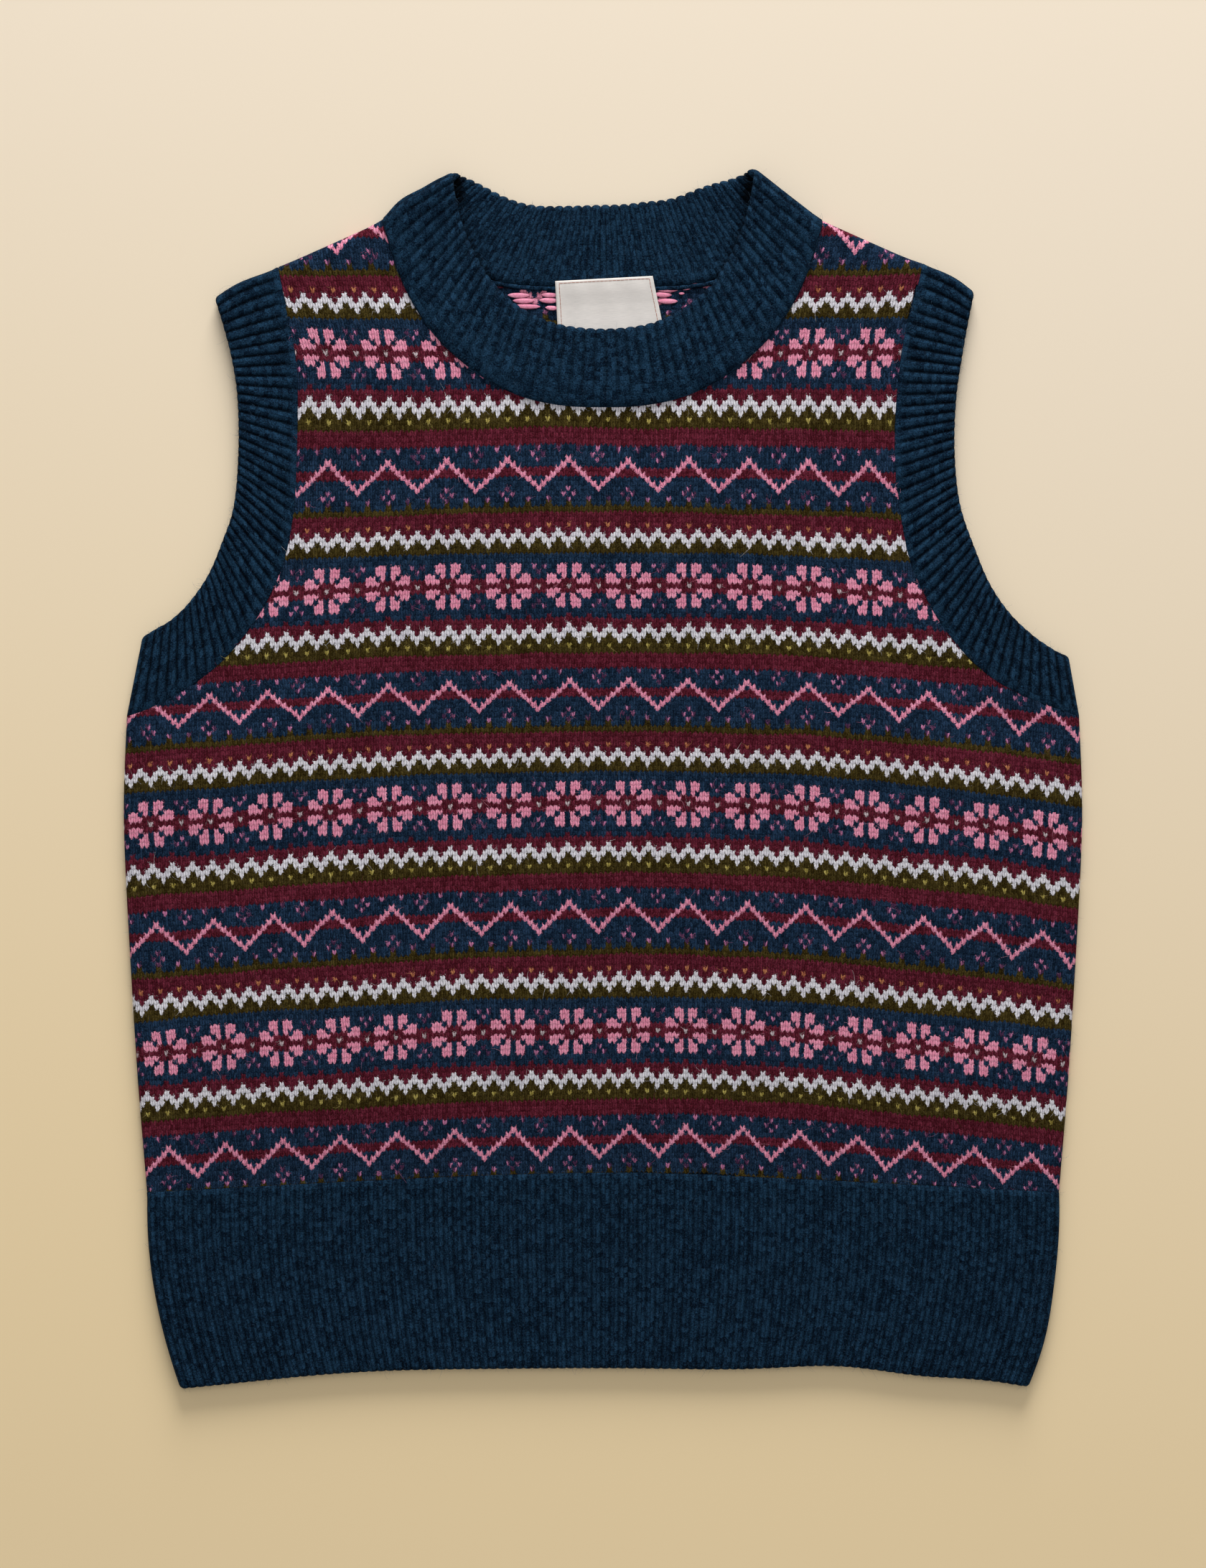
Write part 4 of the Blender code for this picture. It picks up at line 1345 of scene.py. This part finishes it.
def label_stitches(sizes, colours):
    """Short raised stitches along the label's top and two sides."""
    width = sizes.label_width / MM
    side, top = 0.5 - 1.9 / width, 1.5 / LABEL_LENGTH
    route = [(-side, 0.98), (-side, top), (side, top), (side, 0.98)]
    points, faces = [], []
    stitch, radius, dip = 1.9, 0.13, 0.04
    for (x0, d0), (x1, d1) in zip(route, route[1:]):
        length = math.hypot((x1 - x0) * width, (d1 - d0) * LABEL_LENGTH)
        count = int(length // stitch)
        for number in range(count):
            shares = (number + np.array((0.0, 0.25, 0.75, 1.0)) * 0.92) / count
            line = label_place(x0 + (x1 - x0) * shares, d0 + (d1 - d0) * shares, width)
            line[:, 2] += (-dip, 0.06, 0.06, -dip)
            way = line[-1] - line[0]
            beside = np.array((-way[1], way[0], 0.0)) / math.hypot(way[0], way[1]) * radius
            first = len(points)
            for spot in line:
                points += [spot + beside, spot + (0, 0, radius), spot - beside]
            for ring in range(3):
                here = first + ring * 3
                faces += [(here, here + 3, here + 4, here + 1),
                          (here + 1, here + 4, here + 5, here + 2)]
    add_mesh("label_stitching", points, faces, thread_material("label_thread", colours), None,
             None)


# Loose fibres


FIBRE_TAPER = np.array((1.0, 0.9, 0.7, 0.35))  # share of the full width, from root to tip


def fibres(name, surfaces, sizes, material, count, seed):
    """Fine hairs that stand off the wool, as thin ribbons on the faces they grow from."""
    draw = np.random.default_rng(seed)
    roots, yarns = [], []
    total = sum(len(quads) for _, quads, _ in surfaces)
    for points, quads, yarn in surfaces:
        share = int(round(count * len(quads) / total))
        chosen = draw.integers(0, len(quads), share)
        blend = draw.dirichlet((1.0, 1.0, 1.0, 1.0), share)
        roots.append((points[quads[chosen]] * blend[..., None]).sum(axis=1))
        yarns.append(yarn[chosen])
    roots, yarns = np.vstack(roots), np.concatenate(yarns)
    number = len(roots)
    heading = draw.uniform(0, 2 * math.pi, number)
    curl = draw.normal(0.0, 1.1, number)
    length = np.clip(draw.lognormal(0.6, 0.5, number), 0.7, 7.0) * sizes.fibre_length
    height = draw.uniform(0.15, 0.55, number)
    knots = len(FIBRE_TAPER)
    steps = np.linspace(0.0, 1.0, knots)
    place = np.repeat(roots[:, None], knots, axis=1)
    angle = heading[:, None] + curl[:, None] * steps
    stride = length[:, None] / (knots - 1)
    place[:, 1:, 0] += np.cumsum(np.cos(angle[:, :-1]) * stride, axis=1)
    place[:, 1:, 1] += np.cumsum(np.sin(angle[:, :-1]) * stride, axis=1)
    place[..., 2] += 0.05 + height[:, None] * np.sin(steps * math.pi * 0.8)
    side = np.stack([-np.sin(angle), np.cos(angle), draw.uniform(-0.6, 0.6, (number, knots))],
                    axis=-1)
    spread = side * (FIBRE_TAPER * sizes.fibre_width / MM / 2)[:, None]
    points = np.stack([place + spread, place - spread], axis=2).reshape(-1, 3)
    base = (np.arange(number) * 2 * knots)[:, None] + np.arange(knots - 1) * 2
    quads = np.stack([base, base + 1, base + 3, base + 2], axis=-1).reshape(-1, 4)
    values = {"yarn": np.repeat(yarns, knots - 1),
              "tone": np.repeat(draw.uniform(0.0, 1.0, number), knots - 1)}
    add_mesh(name, points, quads, material, None, values)


# Stage


LIGHTS = (
    # name, place, size in metres, watts: white discs that face the origin
    ("key", (0.16, 2.55, 0.95), 1.5, 85.0),
    ("fill", (0.1, 0.3, 2.4), 1.8, 12.0),
)
SKY_STRENGTH = 0.30
FLOOR_SIZE, FLOOR_Z = 12.0, -0.0002  # in metres
PHOTO_HEIGHT = 2184  # pixels
MM_PER_PIXEL = 0.345
LENS, SENSOR = 90.0, 36.0
CAMERA_Y = -0.0021
CLOTH_TOP = 0.006  # the height, in metres, at which the photo's scale holds


def add_light(name, place, size, watts):
    light = bpy.data.lights.new(name, "AREA")
    light.shape = "DISK"
    light.size = size
    light.energy = watts
    lamp = bpy.data.objects.new(name, light)
    lamp.location = place
    x, y, z = place
    lamp.rotation_euler = (math.atan2(math.hypot(x, y), z), 0.0, math.atan2(x, -y))
    bpy.context.scene.collection.objects.link(lamp)


def add_camera(scene):
    """A long lens straight above, which frames what the photo does."""
    view = bpy.data.cameras.new("camera")
    view.lens = LENS
    view.sensor_fit = "VERTICAL"
    view.sensor_width = view.sensor_height = SENSOR
    camera = bpy.data.objects.new("camera", view)
    distance = LENS / SENSOR * PHOTO_HEIGHT * MM_PER_PIXEL * MM
    camera.location = (0.0, CAMERA_Y, distance + CLOTH_TOP)
    scene.collection.objects.link(camera)
    scene.camera = camera


# Add-on


def length_of(name, text, millimetres):
    return FloatProperty(name=name, description=text, default=millimetres * MM, min=0.0,
                         precision=5, unit="LENGTH")


def share_of(name, text, default):
    return FloatProperty(name=name, description=text, default=default, min=0.0, max=1.0,
                         subtype="FACTOR")


def ribs_of(name, text, default):
    return IntProperty(name=name, description=text, default=default, min=1)


def colour_of(name, text, default):
    return FloatVectorProperty(name=name, description=text, subtype="COLOR", size=3, min=0.0,
                               max=1.0, default=default)


class VestSizes(PropertyGroup):
    """Sizes of the knitting that a user would change."""

    stitch_relief: length_of("Stitch relief", "Depth of the yarn's fine relief", 0.55)
    leg_bulge: length_of("Leg bulge", "How far a stitch's legs stand out", 0.24)
    front_rise: length_of("Front rise", "How far the front's middle stands up", 2.2)
    rise_width: length_of("Rise width", "Over which the front climbs", 55.0)
    rib_depth: length_of("Rib depth", "From a rib's ridge to its furrow", 1.3)
    corner_lift: length_of("Corner lift", "How far the neckband's folds stand up", 4.4)
    label_width: length_of("Label width", "Width of the woven label", 47.0)
    fibre_width: length_of("Fibre width", "Width of a loose fibre", 0.05)
    fray: share_of("Fray", "How ragged a colour change is, in stitches", 0.6)
    rounding: share_of("Rounding", "How far a block of colour's corners are rounded", 0.42)
    fibre_length: FloatProperty(name="Fibre length", description="Scale of loose fibres",
                                default=1.0, min=0.0)
    hem_ribs: ribs_of("Hem ribs", "Ribs across the hem", 97)
    right_arm_ribs: ribs_of("Right armband ribs", "Ribs on half of the right armband", 41)
    left_arm_ribs: ribs_of("Left armband ribs", "Ribs on half of the left armband", 43)
    neck_front_ribs: ribs_of("Front neck ribs", "Ribs on the front neck", 48)
    neck_back_ribs: ribs_of("Back neck ribs", "Ribs on the back neck", 32)


class YarnColours(PropertyGroup):
    """The colours of the label and the floor, and below two shades of each yarn."""

    satin: colour_of("Satin", "The woven label", (0.790, 0.740, 0.695))
    stitching: colour_of("Stitching", "Thread round the label", (0.400, 0.120, 0.060))
    floor: colour_of("Floor", "The plain floor at its far end", (0.855, 0.740, 0.590))
    floor_near: colour_of("Floor, near", "The plain floor at its near end", (0.900, 0.708, 0.425))


for yarn_name, yarn_text, light_shade, deep_shade in YARNS:
    YarnColours.__annotations__.update({
        yarn_name: colour_of(yarn_name.capitalize(), yarn_text + ", light shade", light_shade),
        yarn_name + "_deep": colour_of(yarn_name.capitalize() + ", deep",
                                       yarn_text + ", deep shade", deep_shade)})


KNITTED = {}  # what the fibres grow on: points, quads and yarns, kept by its operators


class KNIT_OT_front_panel(Operator):
    """Knit the patterned front"""

    bl_idname = "knitwear.front_panel"
    bl_label = "Front panel"

    def execute(self, context):
        scene = context.scene
        KNITTED["front"] = front_panel(scene.vest_sizes, scene.yarn_colours)
        return {"FINISHED"}


class KNIT_OT_back_panel(Operator):
    """Knit the patterned back, with its purl side"""

    bl_idname = "knitwear.back_panel"
    bl_label = "Back panel"

    def execute(self, context):
        sizes, yarns = context.scene.vest_sizes, context.scene.yarn_colours
        back_panel(sizes, yarns)
        float_wool = rib_wool("float", sizes, yarns)
        seam_roll(float_wool)
        back_floats(float_wool)
        return {"FINISHED"}


class KNIT_OT_bands(Operator):
    """Knit the ribbed hem, armbands and neckband"""

    bl_idname = "knitwear.bands"
    bl_label = "Ribbed bands"

    def execute(self, context):
        sizes = context.scene.vest_sizes
        yarns = context.scene.yarn_colours
        hem_wool, arm_wool, neck_wool = (rib_wool(band, sizes, yarns)
                                         for band in ("hem", "armband", "neckband"))
        made = [hem_rib(sizes, hem_wool),
                armband("right", RIGHT_ARMHOLE, sizes.right_arm_ribs, sizes, arm_wool),
                armband("left", LEFT_ARMHOLE, sizes.left_arm_ribs, sizes, arm_wool),
                neckband(sizes, neck_wool)]
        KNITTED["bands"] = [(points, quads, np.full(len(quads), float(MARL)))
                            for points, quads in made]
        return {"FINISHED"}


class KNIT_OT_label(Operator):
    """Sew in the bare woven label"""

    bl_idname = "knitwear.label"
    bl_label = "Label"

    def execute(self, context):
        scene = context.scene
        label(scene.vest_sizes, scene.yarn_colours)
        label_stitches(scene.vest_sizes, scene.yarn_colours)
        return {"FINISHED"}


class KNIT_OT_fibres(Operator):
    """Raise loose fibres on the wool"""

    bl_idname = "knitwear.fibres"
    bl_label = "Loose fibres"

    def execute(self, context):
        sizes = context.scene.vest_sizes
        material = fibre_material("loose_fibre", context.scene.yarn_colours)
        if "front" not in KNITTED or "bands" not in KNITTED:
            raise RuntimeError("knit the front and the bands first")
        fibres("front_fibres", [KNITTED["front"]], sizes, material, count=24000, seed=5)
        fibres("band_fibres", KNITTED["bands"], sizes, material, count=16000, seed=7)
        return {"FINISHED"}


class KNIT_OT_stage(Operator):
    """Lay the floor, hang the lights and set the camera straight above"""

    bl_idname = "knitwear.stage"
    bl_label = "Stage"

    def execute(self, context):
        scene = context.scene
        bpy.ops.mesh.primitive_plane_add(size=FLOOR_SIZE, location=(0.0, 0.0, FLOOR_Z))
        floor = context.object
        floor.name = "floor"
        floor.data.materials.append(floor_material("floor_paper", scene.yarn_colours))
        for light in LIGHTS:
            add_light(*light)
        world = bpy.data.worlds.new("studio")
        world.use_nodes = True
        background = world.node_tree.nodes["Background"]
        background.inputs["Color"].default_value = (1.0, 1.0, 1.0, 1.0)
        background.inputs["Strength"].default_value = SKY_STRENGTH
        scene.world = world
        scene.view_settings.view_transform = "Standard"
        scene.view_settings.look = "None"
        add_camera(scene)
        return {"FINISHED"}


STEPS = (KNIT_OT_front_panel, KNIT_OT_back_panel, KNIT_OT_bands, KNIT_OT_label,
         KNIT_OT_fibres, KNIT_OT_stage)


class KNIT_PT_panel(Panel):
    """Sizes, yarns and steps of the vest"""

    bl_idname = "KNIT_PT_panel"
    bl_label = "Fair Isle Vest"
    bl_space_type = "VIEW_3D"
    bl_region_type = "UI"
    bl_category = "Knitwear"

    def draw(self, context):
        column = self.layout.column()
        for step in STEPS:
            column.operator(step.bl_idname)
        for group, kind in ((context.scene.vest_sizes, VestSizes),
                            (context.scene.yarn_colours, YarnColours)):
            for name in kind.__annotations__:
                column.prop(group, name)


CLASSES = (VestSizes, YarnColours, *STEPS, KNIT_PT_panel)


def register():
    for kind in CLASSES:
        bpy.utils.register_class(kind)
    bpy.types.Scene.vest_sizes = PointerProperty(type=VestSizes)
    bpy.types.Scene.yarn_colours = PointerProperty(type=YarnColours)


def unregister():
    del bpy.types.Scene.yarn_colours
    del bpy.types.Scene.vest_sizes
    for kind in reversed(CLASSES):
        bpy.utils.unregister_class(kind)


def main():
    register()
    bpy.ops.knitwear.front_panel()
    bpy.ops.knitwear.back_panel()
    bpy.ops.knitwear.bands()
    bpy.ops.knitwear.label()
    bpy.ops.knitwear.fibres()
    bpy.ops.knitwear.stage()


if __name__ == "__main__":
    main()
